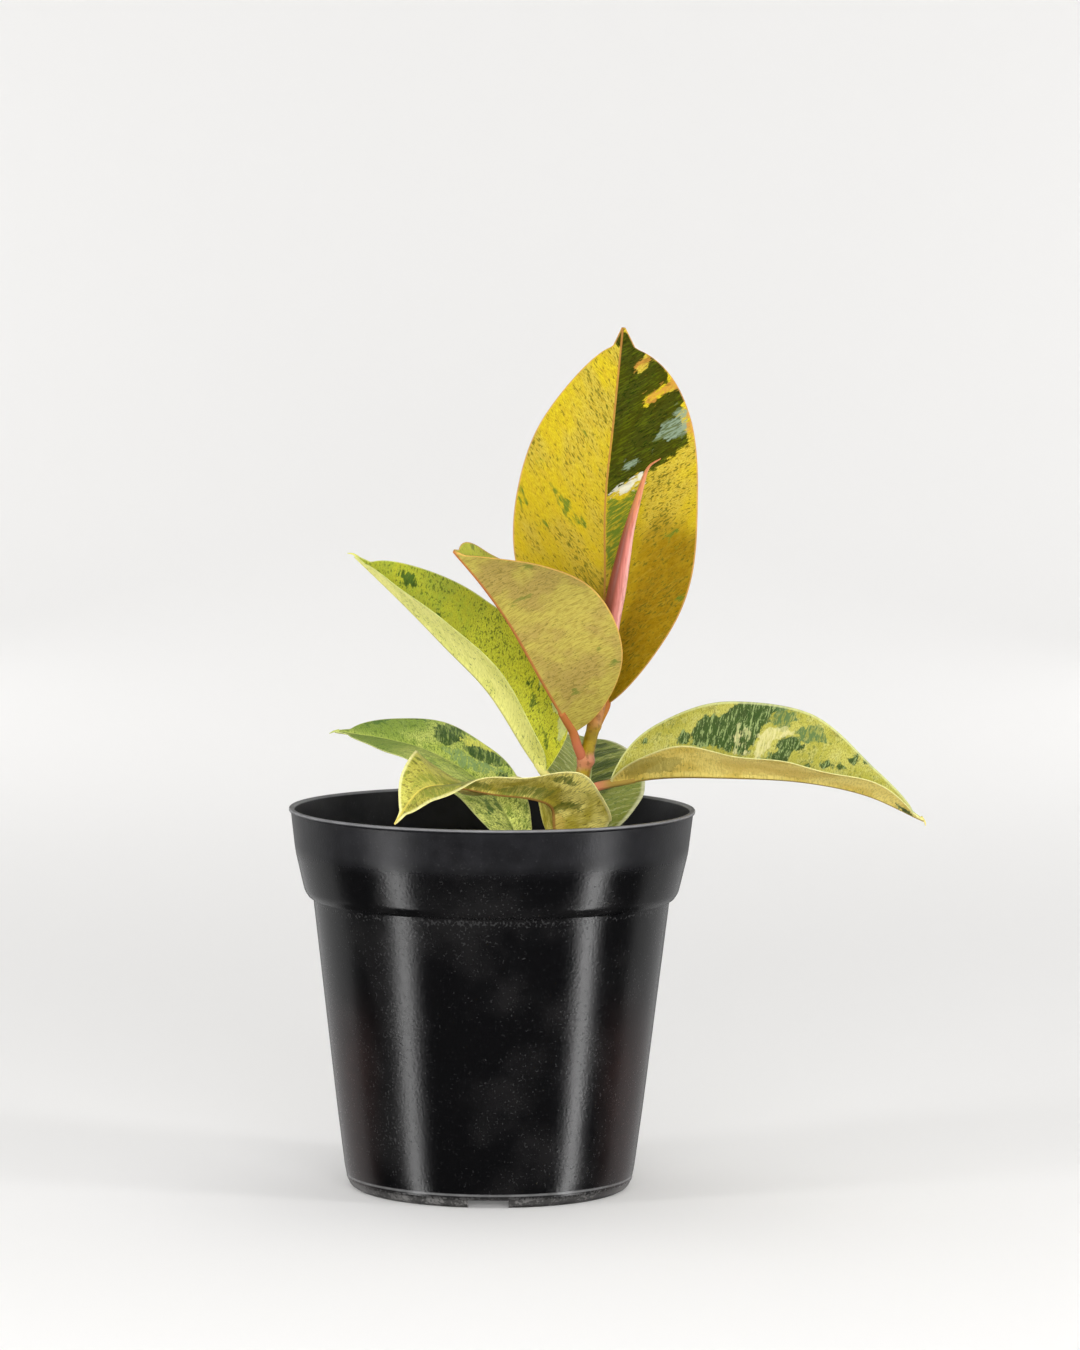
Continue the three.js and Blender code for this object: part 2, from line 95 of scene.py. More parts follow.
class Wire:
    """An output of a node, so that maths on it reads as a Python expression."""

    def __init__(self, nodes, socket):
        self.nodes = nodes
        self.socket = socket

    def maths(self, operation, *others, swapped=False):
        values = [self, *others]
        if swapped:
            values.reverse()
        return self.nodes.add("ShaderNodeMath", {"operation": operation}, dict(enumerate(values)))

    def __add__(self, other):
        return self.maths("ADD", other)

    def __radd__(self, other):
        return self.maths("ADD", other, swapped=True)

    def __sub__(self, other):
        return self.maths("SUBTRACT", other)

    def __rsub__(self, other):
        return self.maths("SUBTRACT", other, swapped=True)

    def __mul__(self, other):
        return self.maths("MULTIPLY", other)

    def __rmul__(self, other):
        return self.maths("MULTIPLY", other, swapped=True)

    def __truediv__(self, other):
        return self.maths("DIVIDE", other)

    def within(self, low, high):
        """0 below low, 1 above high and a smooth step between them."""
        settings = {"interpolation_type": "SMOOTHSTEP", "clamp": True}
        return self.nodes.add("ShaderNodeMapRange", settings, {0: self, 1: low, 2: high, 3: 0.0, 4: 1.0})

    def band(self, start, full, fading, gone):
        """1 between full and fading, 0 below start and above gone."""
        return self.within(start, full) * (1 - self.within(fading, gone))


class Nodes:
    """A node tree that is filled node by node."""

    def __init__(self, tree):
        self.tree = tree
        self.tree.nodes.clear()

    def add(self, kind, settings=None, inputs=None, output=0):
        made = self.tree.nodes.new(kind)
        for name, value in (settings or {}).items():
            setattr(made, name, value)
        for key, value in (inputs or {}).items():
            if isinstance(value, Wire):
                self.tree.links.new(value.socket, made.inputs[key])
            else:
                made.inputs[key].default_value = value
        return Wire(self, made.outputs[output]) if made.outputs else made

    def mix(self, amount, first, second):
        settings = {"data_type": "RGBA", "blend_type": "MIX", "clamp_factor": True}
        return self.add("ShaderNodeMix", settings, {0: amount, 6: first, 7: second}, 2)

    def parts(self, vector):
        """The X, Y and Z of a vector."""
        split = self.add("ShaderNodeSeparateXYZ", None, {0: vector})
        return [Wire(self, part) for part in split.socket.node.outputs]

    def object_place(self):
        return self.add("ShaderNodeTexCoord", None, None, 3)

    def noise(self, place, scale, detail):
        return self.add("ShaderNodeTexNoise", None, {"Vector": place, "Scale": scale, "Detail": detail})

    def bump(self, strength, distance, relief):
        inputs = {"Strength": strength, "Distance": distance, "Height": relief}
        return self.add("ShaderNodeBump", None, inputs)

    def surface(self, skin):
        """Ends a material with one Principled shader."""
        shader = self.add("ShaderNodeBsdfPrincipled", None, skin)
        self.add("ShaderNodeOutputMaterial", None, {"Surface": shader})


def new_finish(name):
    """An empty material and its nodes."""
    material = bpy.data.materials.new(name)
    material.use_nodes = True
    return material, Nodes(material.node_tree)


def mesh_from(name, points, faces):
    """A mesh in metres from points in millimetres."""
    mesh = bpy.data.meshes.new(name)
    mesh.from_pydata((np.asarray(points, float) * MM).tolist(), [], [list(map(int, f)) for f in faces])
    mesh.validate()
    mesh.polygons.foreach_set("use_smooth", np.ones(len(mesh.polygons), bool))
    mesh.update()
    return mesh


def put_in_scene(name, mesh):
    """An object with this mesh, at the origin of the scene."""
    piece = bpy.data.objects.new(name, mesh)
    bpy.context.scene.collection.objects.link(piece)
    return piece


def unit(vectors):
    """The same directions, each of length 1."""
    return vectors / np.maximum(np.linalg.norm(vectors, axis=-1, keepdims=True), 1e-12)


camera = bpy.data.objects.new("camera", bpy.data.cameras.new("camera"))
camera.data.lens = CAMERA_LENS
camera.matrix_world = (
    Matrix.Translation(CAMERA_PLACE)
    @ Matrix.Rotation(math.pi / 2 - CAMERA_PITCH_DOWN, 4, "X")
    @ Matrix.Rotation(CAMERA_ROLL, 4, "Z")
)
bpy.context.scene.collection.objects.link(camera)
bpy.context.scene.camera = camera
bpy.context.scene.view_settings.view_transform = "Standard"

sweep_line = [(SWEEP_FRONT, 0), (SWEEP_FLAT_START, 0), (SWEEP_BEND_START, 0)]
for step in range(1, SWEEP_BEND_STEPS + 1):
    turn = math.pi / 2 * step / SWEEP_BEND_STEPS
    sweep_line.append((
        SWEEP_BEND_START + SWEEP_BEND_RADIUS * math.sin(turn),
        SWEEP_BEND_RADIUS * (1 - math.cos(turn)),
    ))
sweep_line.append((SWEEP_BEND_START + SWEEP_BEND_RADIUS, SWEEP_HEIGHT))
sweep_points = [(x, y, z) for y, z in sweep_line for x in (-SWEEP_HALF_WIDTH, SWEEP_HALF_WIDTH)]
sweep_faces = [(2 * i, 2 * i + 1, 2 * i + 3, 2 * i + 2) for i in range(len(sweep_line) - 1)]
sweep = put_in_scene("paper_sweep", mesh_from("paper_sweep", sweep_points, sweep_faces))
paper, nodes = new_finish("pale_paper")
nodes.surface({
    "Base Color": SWEEP_COLOUR, "Roughness": 0.9, "Specular IOR Level": 0.1,
    "Emission Color": SWEEP_COLOUR, "Emission Strength": SWEEP_LIFT,
})
sweep.data.materials.append(paper)
sweep.visible_glossy = False

world = bpy.data.worlds.new("soft_surround")
world.use_nodes = True
sky = Nodes(world.node_tree)
heading = sky.add("ShaderNodeTexCoord")
rise = sky.parts(heading)[2]
glow = sky.add("ShaderNodeBackground", None, {
    "Color": (1, 0.995, 0.985, 1), "Strength": rise.within(-0.15, 0.25) * 0.27 + 0.015})
sky.add("ShaderNodeOutputWorld", None, {"Surface": glow})
bpy.context.scene.world = world

for name, (place, target, width, height, watts, in_reflections) in PANELS.items():
    panel = bpy.data.objects.new(name, bpy.data.lights.new(name, "AREA"))
    panel.data.shape = "RECTANGLE"
    panel.data.size = width * MM
    panel.data.size_y = height * MM
    panel.data.energy = watts
    ahead = unit(np.array(target, float) - np.array(place, float))
    right = unit(np.cross(ahead, (0, 0, 1)))
    above = np.cross(right, ahead)
    turn = Matrix((right, above, -ahead)).transposed().to_4x4()
    panel.matrix_world = Matrix.Translation(np.array(place) * MM) @ turn
    panel.visible_camera = False
    panel.visible_glossy = in_reflections
    bpy.context.scene.collection.objects.link(panel)


# Pot. Thin black plastic blown into a tapered cup with a deeper collar and a fine lip. The wall is
# a round sweep of its profile; three drain notches and six drain holes are cut through the foot.
POT_SIDES = 256
POT_PROFILE = [
    # radius, height, rounding of the corner there
    (5, 0, 0), (10, 0, 0.3), (11.6, 4, 0.5), (46.9, 4, 0.4), (47.2, 0, 0.3), (49.6, 0, 0.7),
    (51.6, 1.2, 0.8), (52.55, 3.2, 0.2), (53.0, 3.9, 0.25), (52.95, 4.4, 0.2), (53.7, 8, 3),
    (56.6, 29.7, 20), (65.9, 107.7, 0.25), (67.5, 108.2, 0.5), (69.0, 110.3, 1.4), (69.6, 112.5, 2),
    (72.6, 125.2, 2.5), (74.3, 139.5, 0.2), (75, 139.9, 0.25), (75, 141, 0.4), (73.4, 141, 0.3),
    (73.0, 140.3, 0.3), (71.0, 125.2, 2.5), (68.0, 112.5, 2), (67.0, 109.8, 1.2), (64.3, 106.4, 0.6),
    (55.0, 29.7, 20), (52.1, 8, 2), (50.5, 6, 0.8), (20, 6, 0),
]
POT_FLOOR_TOP = 6
NOTCH_SIZE = (14.8, 14, 6.4)
NOTCH_PLACE = 49.6
NOTCH_COUNT = 3
DRAIN_RADIUS = 4
DRAIN_LENGTH = 8
DRAIN_PLACE = (33, 0, 5)
DRAIN_COUNT = 6
# Heights between which chalk, dust, the painted light on the upper collar and the painted highlights
# along the crease and on the lip come or go, and how far out the painted reflection on the flanks begins
CHALK_FADE = (2.2, 5.0)
CREASE_HIGHLIGHT = (4.4, 4.9, 5.2, 5.7)
FLANK_REFLECTION_FADE = (45, 85)
LEDGE_DUST = (104.0, 106.2, 106.6, 107.4)
COLLAR_TOP_RISE = (121.5, 129.0)
LIP_HIGHLIGHT_RISE = (140.0, 140.5)
FLANK_REFLECTION_SIDES = (36, 52)


def metres(lengths):
    """Lengths in metres from millimetres."""
    return tuple(length * MM for length in lengths)


def rounded_profile(corners, steps=5):
    """Points along a line of corners, each turned into a small arc."""
    line = [np.array(c[:2], float) for c in corners]
    points = [line[0]]
    for before, corner, after, rounding in zip(line, line[1:], line[2:], [c[2] for c in corners[1:]]):
        back, ahead = before - corner, after - corner
        reach = min(rounding, 0.45 * np.linalg.norm(back), 0.45 * np.linalg.norm(ahead))
        start = corner + back / np.linalg.norm(back) * reach
        end = corner + ahead / np.linalg.norm(ahead) * reach
        for k in range(steps + 1):
            f = k / steps
            points.append((1 - f) ** 2 * start + 2 * f * (1 - f) * corner + f ** 2 * end)
    points.append(line[-1])
    return points


def new_geometry_tree(name, inputs):
    """A Geometry Nodes tree, its nodes, and the wires of its geometry input and named inputs."""
    tree = bpy.data.node_groups.new(name, "GeometryNodeTree")
    tree.interface.new_socket("Geometry", in_out="INPUT", socket_type="NodeSocketGeometry")
    for label, kind, value in inputs:
        made = tree.interface.new_socket(label, in_out="INPUT", socket_type=kind)
        if value is not None:
            made.default_value = value
    tree.interface.new_socket("Geometry", in_out="OUTPUT", socket_type="NodeSocketGeometry")
    nodes = Nodes(tree)
    outputs = nodes.add("NodeGroupInput").socket.node.outputs
    return tree, nodes, {output.name: Wire(nodes, output) for output in outputs}


def close_tree(nodes, skin, material):
    """Ends a tree: shades its skin smooth, makes its instances real and gives it one material."""
    smooth = nodes.add("GeometryNodeSetShadeSmooth", None, {0: skin, "Shade Smooth": True})
    real = nodes.add("GeometryNodeRealizeInstances", None, {0: smooth})
    done = nodes.add("GeometryNodeSetMaterial", None, {"Geometry": real, "Material": material})
    nodes.add("NodeGroupOutput", None, {0: done})


def grown_mesh(name, start, tree, values):
    """The plain mesh that a Geometry Nodes tree makes of a start mesh."""
    carrier = put_in_scene(name, start)
    modifier = carrier.modifiers.new("grow", "NODES")
    modifier.node_group = tree
    for item in tree.interface.items_tree:
        if item.in_out == "INPUT" and item.name in values:
            modifier[item.identifier] = values[item.name]
    bpy.context.view_layer.update()
    seen = carrier.evaluated_get(bpy.context.evaluated_depsgraph_get())
    mesh = bpy.data.meshes.new_from_object(seen)
    carrier.modifiers.remove(modifier)
    bpy.data.objects.remove(carrier)
    return mesh


def turned_wall_tree():
    """Sweeps a profile, given as points in order in the XZ plane, once round the Z axis."""
    tree, nodes, given = new_geometry_tree("turned_wall", [
        ("Sides", "NodeSocketInt", 64), ("Material", "NodeSocketMaterial", None),
        ("Notch Count", "NodeSocketInt", 3), ("Notch Size", "NodeSocketVector", None),
        ("Notch Place", "NodeSocketFloat", 0.05), ("Drain Count", "NodeSocketInt", 6),
        ("Drain Radius", "NodeSocketFloat", 0.004), ("Drain Length", "NodeSocketFloat", 0.008),
        ("Drain Place", "NodeSocketVector", None),
    ])
    profile, sides = given["Geometry"], given["Sides"]
    count = nodes.add("GeometryNodeAttributeDomainSize", None, {0: profile})
    grid = nodes.add("GeometryNodeMeshGrid", None, {2: sides + 1, 3: count})
    index = nodes.add("GeometryNodeInputIndex")
    column = (index / count).maths("FLOOR")
    row = index - column * count
    place = nodes.add("GeometryNodeInputPosition")
    sample = nodes.add(
        "GeometryNodeSampleIndex", {"data_type": "FLOAT_VECTOR", "domain": "POINT"},
        {0: profile, "Value": place, "Index": row})
    radius, _, height = nodes.parts(sample)
    angle = column / sides * (2 * math.pi)
    round_place = nodes.add("ShaderNodeCombineXYZ", None, {
        0: radius * angle.maths("COSINE"), 1: radius * angle.maths("SINE"), 2: height,
    })
    wall = nodes.add("GeometryNodeSetPosition", None, {"Geometry": grid, "Position": round_place})
    wall = nodes.add("GeometryNodeMergeByDistance", None, {"Geometry": wall, "Distance": 2e-6})

    box = nodes.add("GeometryNodeMeshCube", None, {"Size": given["Notch Size"]})
    ring = nodes.add("GeometryNodeMeshCircle", None, {
        "Vertices": given["Notch Count"], "Radius": given["Notch Place"],
    })
    turned = nodes.add("GeometryNodeTransform", None, {
        "Geometry": ring, "Rotation": (0, 0, -math.pi / 2),
    })
    x, y, _ = nodes.parts(place)
    heading = y.maths("ARCTAN2", x) + math.pi / 2
    facing = nodes.add("ShaderNodeCombineXYZ", None, {2: heading})
    notches = nodes.add("GeometryNodeInstanceOnPoints", None, {
        "Points": turned, "Instance": box, "Rotation": facing,
    })
    hole = nodes.add("GeometryNodeMeshCylinder", None, {
        "Vertices": 32, "Radius": given["Drain Radius"],
        "Depth": given["Drain Length"],
    })
    drain_distance, _, drain_height = nodes.parts(given["Drain Place"])
    drain_ring = nodes.add("GeometryNodeMeshCircle", None, {
        "Vertices": given["Drain Count"], "Radius": drain_distance,
    })
    lift = nodes.add("ShaderNodeCombineXYZ", None, {2: drain_height})
    drain_ring = nodes.add("GeometryNodeTransform", None, {"Geometry": drain_ring, "Translation": lift})
    drains = nodes.add("GeometryNodeInstanceOnPoints", None, {"Points": drain_ring, "Instance": hole})
    cutters = nodes.add("GeometryNodeJoinGeometry", None, {0: notches})
    nodes.tree.links.new(drains.socket, cutters.socket.node.inputs[0])
    cutters = nodes.add("GeometryNodeRealizeInstances", None, {0: cutters})
    cut = nodes.add("GeometryNodeMeshBoolean", {"operation": "DIFFERENCE"}, {0: wall, 1: cutters})
    close_tree(nodes, cut, given["Material"])
    return tree


plastic, nodes = new_finish("black_pot_plastic")
place = nodes.object_place()
height = nodes.parts(place)[2]
speckle = nodes.noise(place, 1100, 3)
cloud = nodes.noise(place, 38, 4)
scuff = nodes.noise(place, 160, 5)
chalk_band = 1 - height.within(*metres(CHALK_FADE))
collar_band = height.within(*metres(COLLAR_TOP_RISE))
ledge_band = height.band(*metres(LEDGE_DUST))
crease_highlight_band = height.band(*metres(CREASE_HIGHLIGHT))
sideways = nodes.parts(place)[0].maths("ABSOLUTE")
dust = (speckle + (cloud - 0.5) * 0.25 + ledge_band * 0.12).within(0.60, 0.80) * 0.10
chalk = chalk_band * (0.25 + (speckle * 0.5 + scuff * 0.5).within(0.46, 0.58) * 0.6)
# Painted light: the upper part of the collar is painted a paler, mottled grey where it catches the light
# from above.
painted_collar_light = collar_band * (0.05 + scuff * 0.55)
# Painted reflection: the lower left and right flanks of the pot, where they turn from the front, are
# painted a warm brown.
painted_flank_reflection = sideways.within(*metres(FLANK_REFLECTION_SIDES)) * (1 - height.within(*metres(FLANK_REFLECTION_FADE))) * (0.3 + scuff * 0.9)
colour = nodes.mix(cloud.within(0.45, 0.7), (0.0028, 0.0028, 0.0031, 1), (0.0085, 0.0082, 0.0084, 1))
colour = nodes.mix(painted_flank_reflection, colour, (0.020, 0.0095, 0.0085, 1))
colour = nodes.mix(painted_collar_light, colour, (0.026, 0.026, 0.030, 1))
colour = nodes.mix(dust, colour, (0.20, 0.20, 0.20, 1))
colour = nodes.mix(chalk, colour, (0.17, 0.165, 0.16, 1))
# Painted highlight: a pale grey line is painted along the crease above the foot.
colour = nodes.mix(crease_highlight_band * (0.2 + scuff * 0.7), colour, (0.20, 0.20, 0.20, 1))
# Painted highlight: the top of the lip is painted light grey.
painted_lip_highlight = height.within(*metres(LIP_HIGHLIGHT_RISE)) * (0.25 + scuff * 0.5)
colour = nodes.mix(painted_lip_highlight, colour, (0.30, 0.30, 0.31, 1))
rough = 0.12 + cloud * 0.12 + speckle * 0.08 + collar_band * 0.15 + chalk * 0.4 + dust * 0.8
relief = speckle * 0.6 + scuff * 0.4
bump = nodes.bump(0.22, 0.0004, relief)
nodes.surface({"Base Color": colour, "Roughness": rough, "Normal": bump, "Specular IOR Level": 0.25})

profile = [(0, 0), *rounded_profile(POT_PROFILE), (0, POT_FLOOR_TOP)]
profile_mesh = mesh_from("pot_profile", [(r, 0, z) for r, z in profile], [])
pot_mesh = grown_mesh("pot_wall", profile_mesh, turned_wall_tree(), {
    "Sides": POT_SIDES, "Material": plastic, "Notch Count": NOTCH_COUNT,
    "Notch Size": metres(NOTCH_SIZE), "Notch Place": NOTCH_PLACE * MM,
    "Drain Count": DRAIN_COUNT, "Drain Radius": DRAIN_RADIUS * MM, "Drain Length": DRAIN_LENGTH * MM,
    "Drain Place": metres(DRAIN_PLACE),
})
pot = put_in_scene("nursery_pot", pot_mesh)
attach(pot, "root")
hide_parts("pot")


# Potting mix. Damp dark bark and coir fill the pot to 28 mm below the lip. Its top is a lumpy sheet
# on the body of the mix, and loose chips, perlite and fibres are strewn on it.
SOIL_TOP = 113
SOIL_RADIUS = 67.2
SOIL_CLEARANCE = 0.5
SOIL_SWELL = 1.2
SOIL_LUMPS = 1.5
SOIL_GRIT = 0.5
SOIL_WALL = [(50.9, 6.3), (52.1, 8), (55, 29.7), (64.3, 106.5), (66.6, 109.8)]
SOIL_RINGS = 46
SOIL_SPOKES = 180
STEM_PLACE = (27.4, 0, 0)
STEM_GAP = 5.5
STREWN_REACH = 63.5
STREWN_LOWEST = 105
STREWN_DENSITY = 110000.0
STREWN_SEED = 4
CHIP_SIDES = 7
FIBRE_STEPS = 6
FIBRE_SIDES = 4
FIBRE_RADIUS = 0.16


def soil_height(x, y, share):
    """Low swells, then lumps of a few millimetres that fade at the wall."""
    swell = math.sin(x * 0.13 + 1) * math.cos(y * 0.11) + 0.6 * math.sin(x * 0.07 - y * 0.19)
    lumps = noise.fractal((x * 0.16, y * 0.16, 3.0), 0.8, 2.0, 4)
    grit = noise.noise((x * 0.7, y * 0.7, 9.0))
    fade = 1 - share ** 8
    return SOIL_TOP + (SOIL_SWELL * swell * (1 - share ** 4) + SOIL_LUMPS * lumps + SOIL_GRIT * grit) * fade


def round_angles(sides):
    """Evenly spaced angles once round a circle."""
    return [2 * math.pi * k / sides for k in range(sides)]


def ring_faces(rings, sides, first=0, turned=False):
    """Four-sided faces between rings of points; turned ones have their other side out."""
    faces = []
    for i in range(rings - 1):
        for k in range(sides):
            a = first + i * sides + k
            b = first + i * sides + (k + 1) % sides
            faces.append((a, a + sides, b + sides, b) if turned else (a, b, b + sides, a + sides))
    return faces


def tube_faces(rings, sides, first=0, turned=False):
    """Ring faces with both ends closed."""
    last = first + (rings - 1) * sides
    start = tuple(range(first, first + sides))
    end = tuple(range(last, last + sides))
    caps = [start, end[::-1]] if turned else [start[::-1], end]
    return ring_faces(rings, sides, first, turned) + caps


def soil_shape():
    """Points and faces of the mix: up the pot's wall, then inwards over its lumpy top."""
    points = []
    rings = [(r - SOIL_CLEARANCE, z, None) for r, z in SOIL_WALL]
    for k in range(SOIL_RINGS):
        share = 1 - k / SOIL_RINGS
        rings.append(((SOIL_RADIUS - SOIL_CLEARANCE) * share, None, share))
    for radius, height, share in rings:
        for angle in round_angles(SOIL_SPOKES):
            x, y = radius * math.cos(angle), radius * math.sin(angle)
            points.append((x, y, height if share is None else soil_height(x, y, share)))
    faces = ring_faces(len(rings), SOIL_SPOKES)
    last = (len(rings) - 1) * SOIL_SPOKES
    points += [(0, 0, SOIL_WALL[0][1]), (0, 0, soil_height(0, 0, 0))]
    for j in range(SOIL_SPOKES):
        after = (j + 1) % SOIL_SPOKES
        faces.append((len(points) - 2, after, j))
        faces.append((len(points) - 1, last + j, last + after))
    return points, faces


def strewn_tree():
    """Strews small pieces of several kinds over the top of a surface, turned and sized at random."""
    tree, nodes, given = new_geometry_tree("strewn_mix", [
        ("Density", "NodeSocketFloat", 60000.0), ("Seed", "NodeSocketInt", 4),
        ("Smallest", "NodeSocketFloat", 0.35), ("Largest", "NodeSocketFloat", 1.0),
        ("Kinds", "NodeSocketCollection", None), ("Stem Place", "NodeSocketVector", None),
        ("Reach", "NodeSocketFloat", 0.064), ("Lowest", "NodeSocketFloat", 0.1),
        ("Stem Gap", "NodeSocketFloat", 0.005),
    ])
    seed = given["Seed"]
    place = nodes.add("GeometryNodeInputPosition")
    x, y, z = nodes.parts(place)
    flat = nodes.add("ShaderNodeCombineXYZ", None, {0: x, 1: y})
    from_axis = nodes.add("ShaderNodeVectorMath", {"operation": "LENGTH"}, {0: flat}, 1)
    from_stem = nodes.add(
        "ShaderNodeVectorMath", {"operation": "DISTANCE"}, {0: flat, 1: given["Stem Place"]}, 1)
    high = z.maths("GREATER_THAN", given["Lowest"])
    inside = from_axis.maths("LESS_THAN", given["Reach"])
    clear = from_stem.maths("GREATER_THAN", given["Stem Gap"])
    points = nodes.add("GeometryNodeDistributePointsOnFaces", None, {
        "Mesh": given["Geometry"], "Selection": high * inside * clear,
        "Density": given["Density"], "Seed": seed,
    })
    kinds = nodes.add("GeometryNodeCollectionInfo", None, {
        "Collection": given["Kinds"], "Separate Children": True, "Reset Children": True,
    })
    turn = nodes.add("FunctionNodeRandomValue", {"data_type": "FLOAT_VECTOR"}, {
        "Min": (-0.5, -0.5, 0.0), "Max": (0.5, 0.5, 2 * math.pi), "Seed": seed,
    })
    size = nodes.add("FunctionNodeRandomValue", {"data_type": "FLOAT"}, {
        2: given["Smallest"], 3: given["Largest"], "Seed": seed + 1,
    }, 1)
    strewn = nodes.add("GeometryNodeInstanceOnPoints", None, {
        "Points": points, "Instance": kinds, "Pick Instance": True, "Rotation": turn, "Scale": size,
    })
    real = nodes.add("GeometryNodeRealizeInstances", None, {0: strewn})
    nodes.add("NodeGroupOutput", None, {0: real})
    return tree


def mix_finish(name, dark, light, rough):
    """Crumbly matter whose colour varies from lump to lump."""
    material, nodes = new_finish(name)
    place = nodes.object_place()
    lumps = nodes.noise(place, 260, 5)
    grain = nodes.noise(place, 1500, 3)
    colour = nodes.mix((lumps * 0.65 + grain * 0.35).within(0.38, 0.64), dark, light)
    bump = nodes.bump(0.5, 0.0006, lumps * 0.5 + grain * 0.5)
    nodes.surface({"Base Color": colour, "Roughness": rough, "Normal": bump, "Specular IOR Level": 0.3})
    return material


def chip_mesh(name, length, width, thickness, seed):
    """A broken chip: a flat block with each corner knocked about."""
    shake = np.random.default_rng(seed)
    points = []
    layers = ((-1, 0.8), (0, 1.0), (1, 0.75))
    for layer, scale in layers:
        for angle in round_angles(CHIP_SIDES):
            knock = shake.uniform(0.75, 1.15)
            points.append((
                length / 2 * scale * knock * math.cos(angle), width / 2 * scale * knock * math.sin(angle),
                thickness / 2 * layer + shake.uniform(-0.12, 0.12) * thickness,
            ))
    return mesh_from(name, points, tube_faces(len(layers), CHIP_SIDES))


def fibre_mesh(name, length, seed):
    """A short bent fibre of coir."""
    shake = np.random.default_rng(seed)
    bend = shake.uniform(0.15, 0.35) * length
    points = []
    for i in range(FIBRE_STEPS + 1):
        f = i / FIBRE_STEPS - 0.5
        for angle in round_angles(FIBRE_SIDES):
            points.append((
                length * f, bend * (1 - 4 * f * f) + FIBRE_RADIUS * math.cos(angle),
                0.3 + 0.4 * math.sin(3 * f) + FIBRE_RADIUS * math.sin(angle)))
    return mesh_from(name, points, tube_faces(FIBRE_STEPS + 1, FIBRE_SIDES))


damp_mix = mix_finish("damp_potting_mix", (0.010, 0.006, 0.004, 1), (0.055, 0.032, 0.018, 1), 0.95)
bark = mix_finish("bark_chips", (0.020, 0.010, 0.006, 1), (0.115, 0.060, 0.030, 1), 0.85)
perlite = mix_finish("perlite", (0.42, 0.40, 0.36, 1), (0.70, 0.68, 0.64, 1), 0.95)
coir = mix_finish("coir_fibre", (0.09, 0.05, 0.022, 1), (0.20, 0.12, 0.06, 1), 0.9)

soil = put_in_scene("potting_mix", mesh_from("potting_mix", *soil_shape()))
soil.data.materials.append(damp_mix)

kinds = bpy.data.collections.new("loose_kinds")
samples = [
    (chip_mesh("chip_large", 7, 4.6, 1.8, 1), bark),
    (chip_mesh("chip_long", 8, 2.6, 1.3, 2), bark),
    (chip_mesh("chip_small", 4, 3, 1.6, 3), bark),
    (chip_mesh("crumb", 2.6, 2.4, 1.9, 4), damp_mix),
    (chip_mesh("crumb_small", 2.2, 1.6, 1.2, 5), damp_mix),
    (chip_mesh("perlite_grain", 2.4, 2.1, 2.0, 6), perlite),
    (fibre_mesh("fibre_long", 11, 7), coir),
    (fibre_mesh("fibre_short", 7, 8), coir),
    (chip_mesh("chip_thin", 5.5, 3.6, 0.9, 9), bark),
    (chip_mesh("crumb_round", 3, 2.8, 2.4, 10), damp_mix),
]
for mesh, material in samples:
    mesh.materials.append(material)
    kinds.objects.link(bpy.data.objects.new(mesh.name, mesh))
grit_mesh = grown_mesh("loose_mix", soil.data.copy(), strewn_tree(), {
    "Density": STREWN_DENSITY, "Seed": STREWN_SEED, "Kinds": kinds,
    "Reach": STREWN_REACH * MM, "Lowest": STREWN_LOWEST * MM,
    "Stem Place": metres(STEM_PLACE), "Stem Gap": STEM_GAP * MM,
})
for sample in list(kinds.objects):
    bpy.data.objects.remove(sample)
bpy.data.collections.remove(kinds)
grit = put_in_scene("loose_mix", grit_mesh)
for piece in (soil, grit):
    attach(piece, "root")
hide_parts("potting_soil")


# Stem. A short young stem, olive brown, with a low ring at each place where a leaf or a sheath has
# been, and a pink flush beside the youngest ones. It is a round sweep along a curved path.
STEM_AXIS = [
    (26, 0, 71), (26.5, 0, 96), (27.5, 0, 116), (29.5, 0, 131), (31.5, 0, 144), (34, 0, 157),
    (36.5, 0, 168.5), (39.5, 0, 179), (42, 0, 194), (43, 0, 201),
]
STEM_RADIUS = [2.6, 3, 3.1, 3, 2.8, 2.7, 2.4, 2, 1.6, 1.4]
STEM_NODES = [(119, 0.5), (125, 0.5), (139, 0.5), (147, 0.5), (159, 0.8), (172, 0.5)]
STEM_NODE_REACH = 1.6
STEM_SCAR_HEIGHT = 0.18
STEM_STATIONS = 220
STEM_SIDES = 40
STEM_FLUSH = (154.5, 157.5, 160.0, 163.0)
STEM_BROWN_FADE = (148, 156)
STEM_PINK_RISE = (168, 176)


def along(values, t):
    """Numbers or points that change smoothly over evenly spaced stations, at each t from 0 to 1."""
    stations = np.asarray(values, float)
    if stations.ndim == 1:
        stations = stations[:, None]
    t = np.atleast_1d(np.asarray(t, float))
    last = len(stations) - 1
    if last == 0:
        return np.repeat(stations, len(t), axis=0)
    place = np.clip(t, 0, 1) * last
    i = np.minimum(place.astype(int), last - 1)
    f = (place - i)[:, None]
    padded = np.vstack([2 * stations[0] - stations[1], stations, 2 * stations[-1] - stations[-2]])
    a, b, c, d = padded[i], padded[i + 1], padded[i + 2], padded[i + 3]
    square = 2 * a - 5 * b + 4 * c - d
    cube = 3 * b - a - 3 * c + d
    return 0.5 * (2 * b + (c - a) * f + square * f * f + cube * f * f * f)


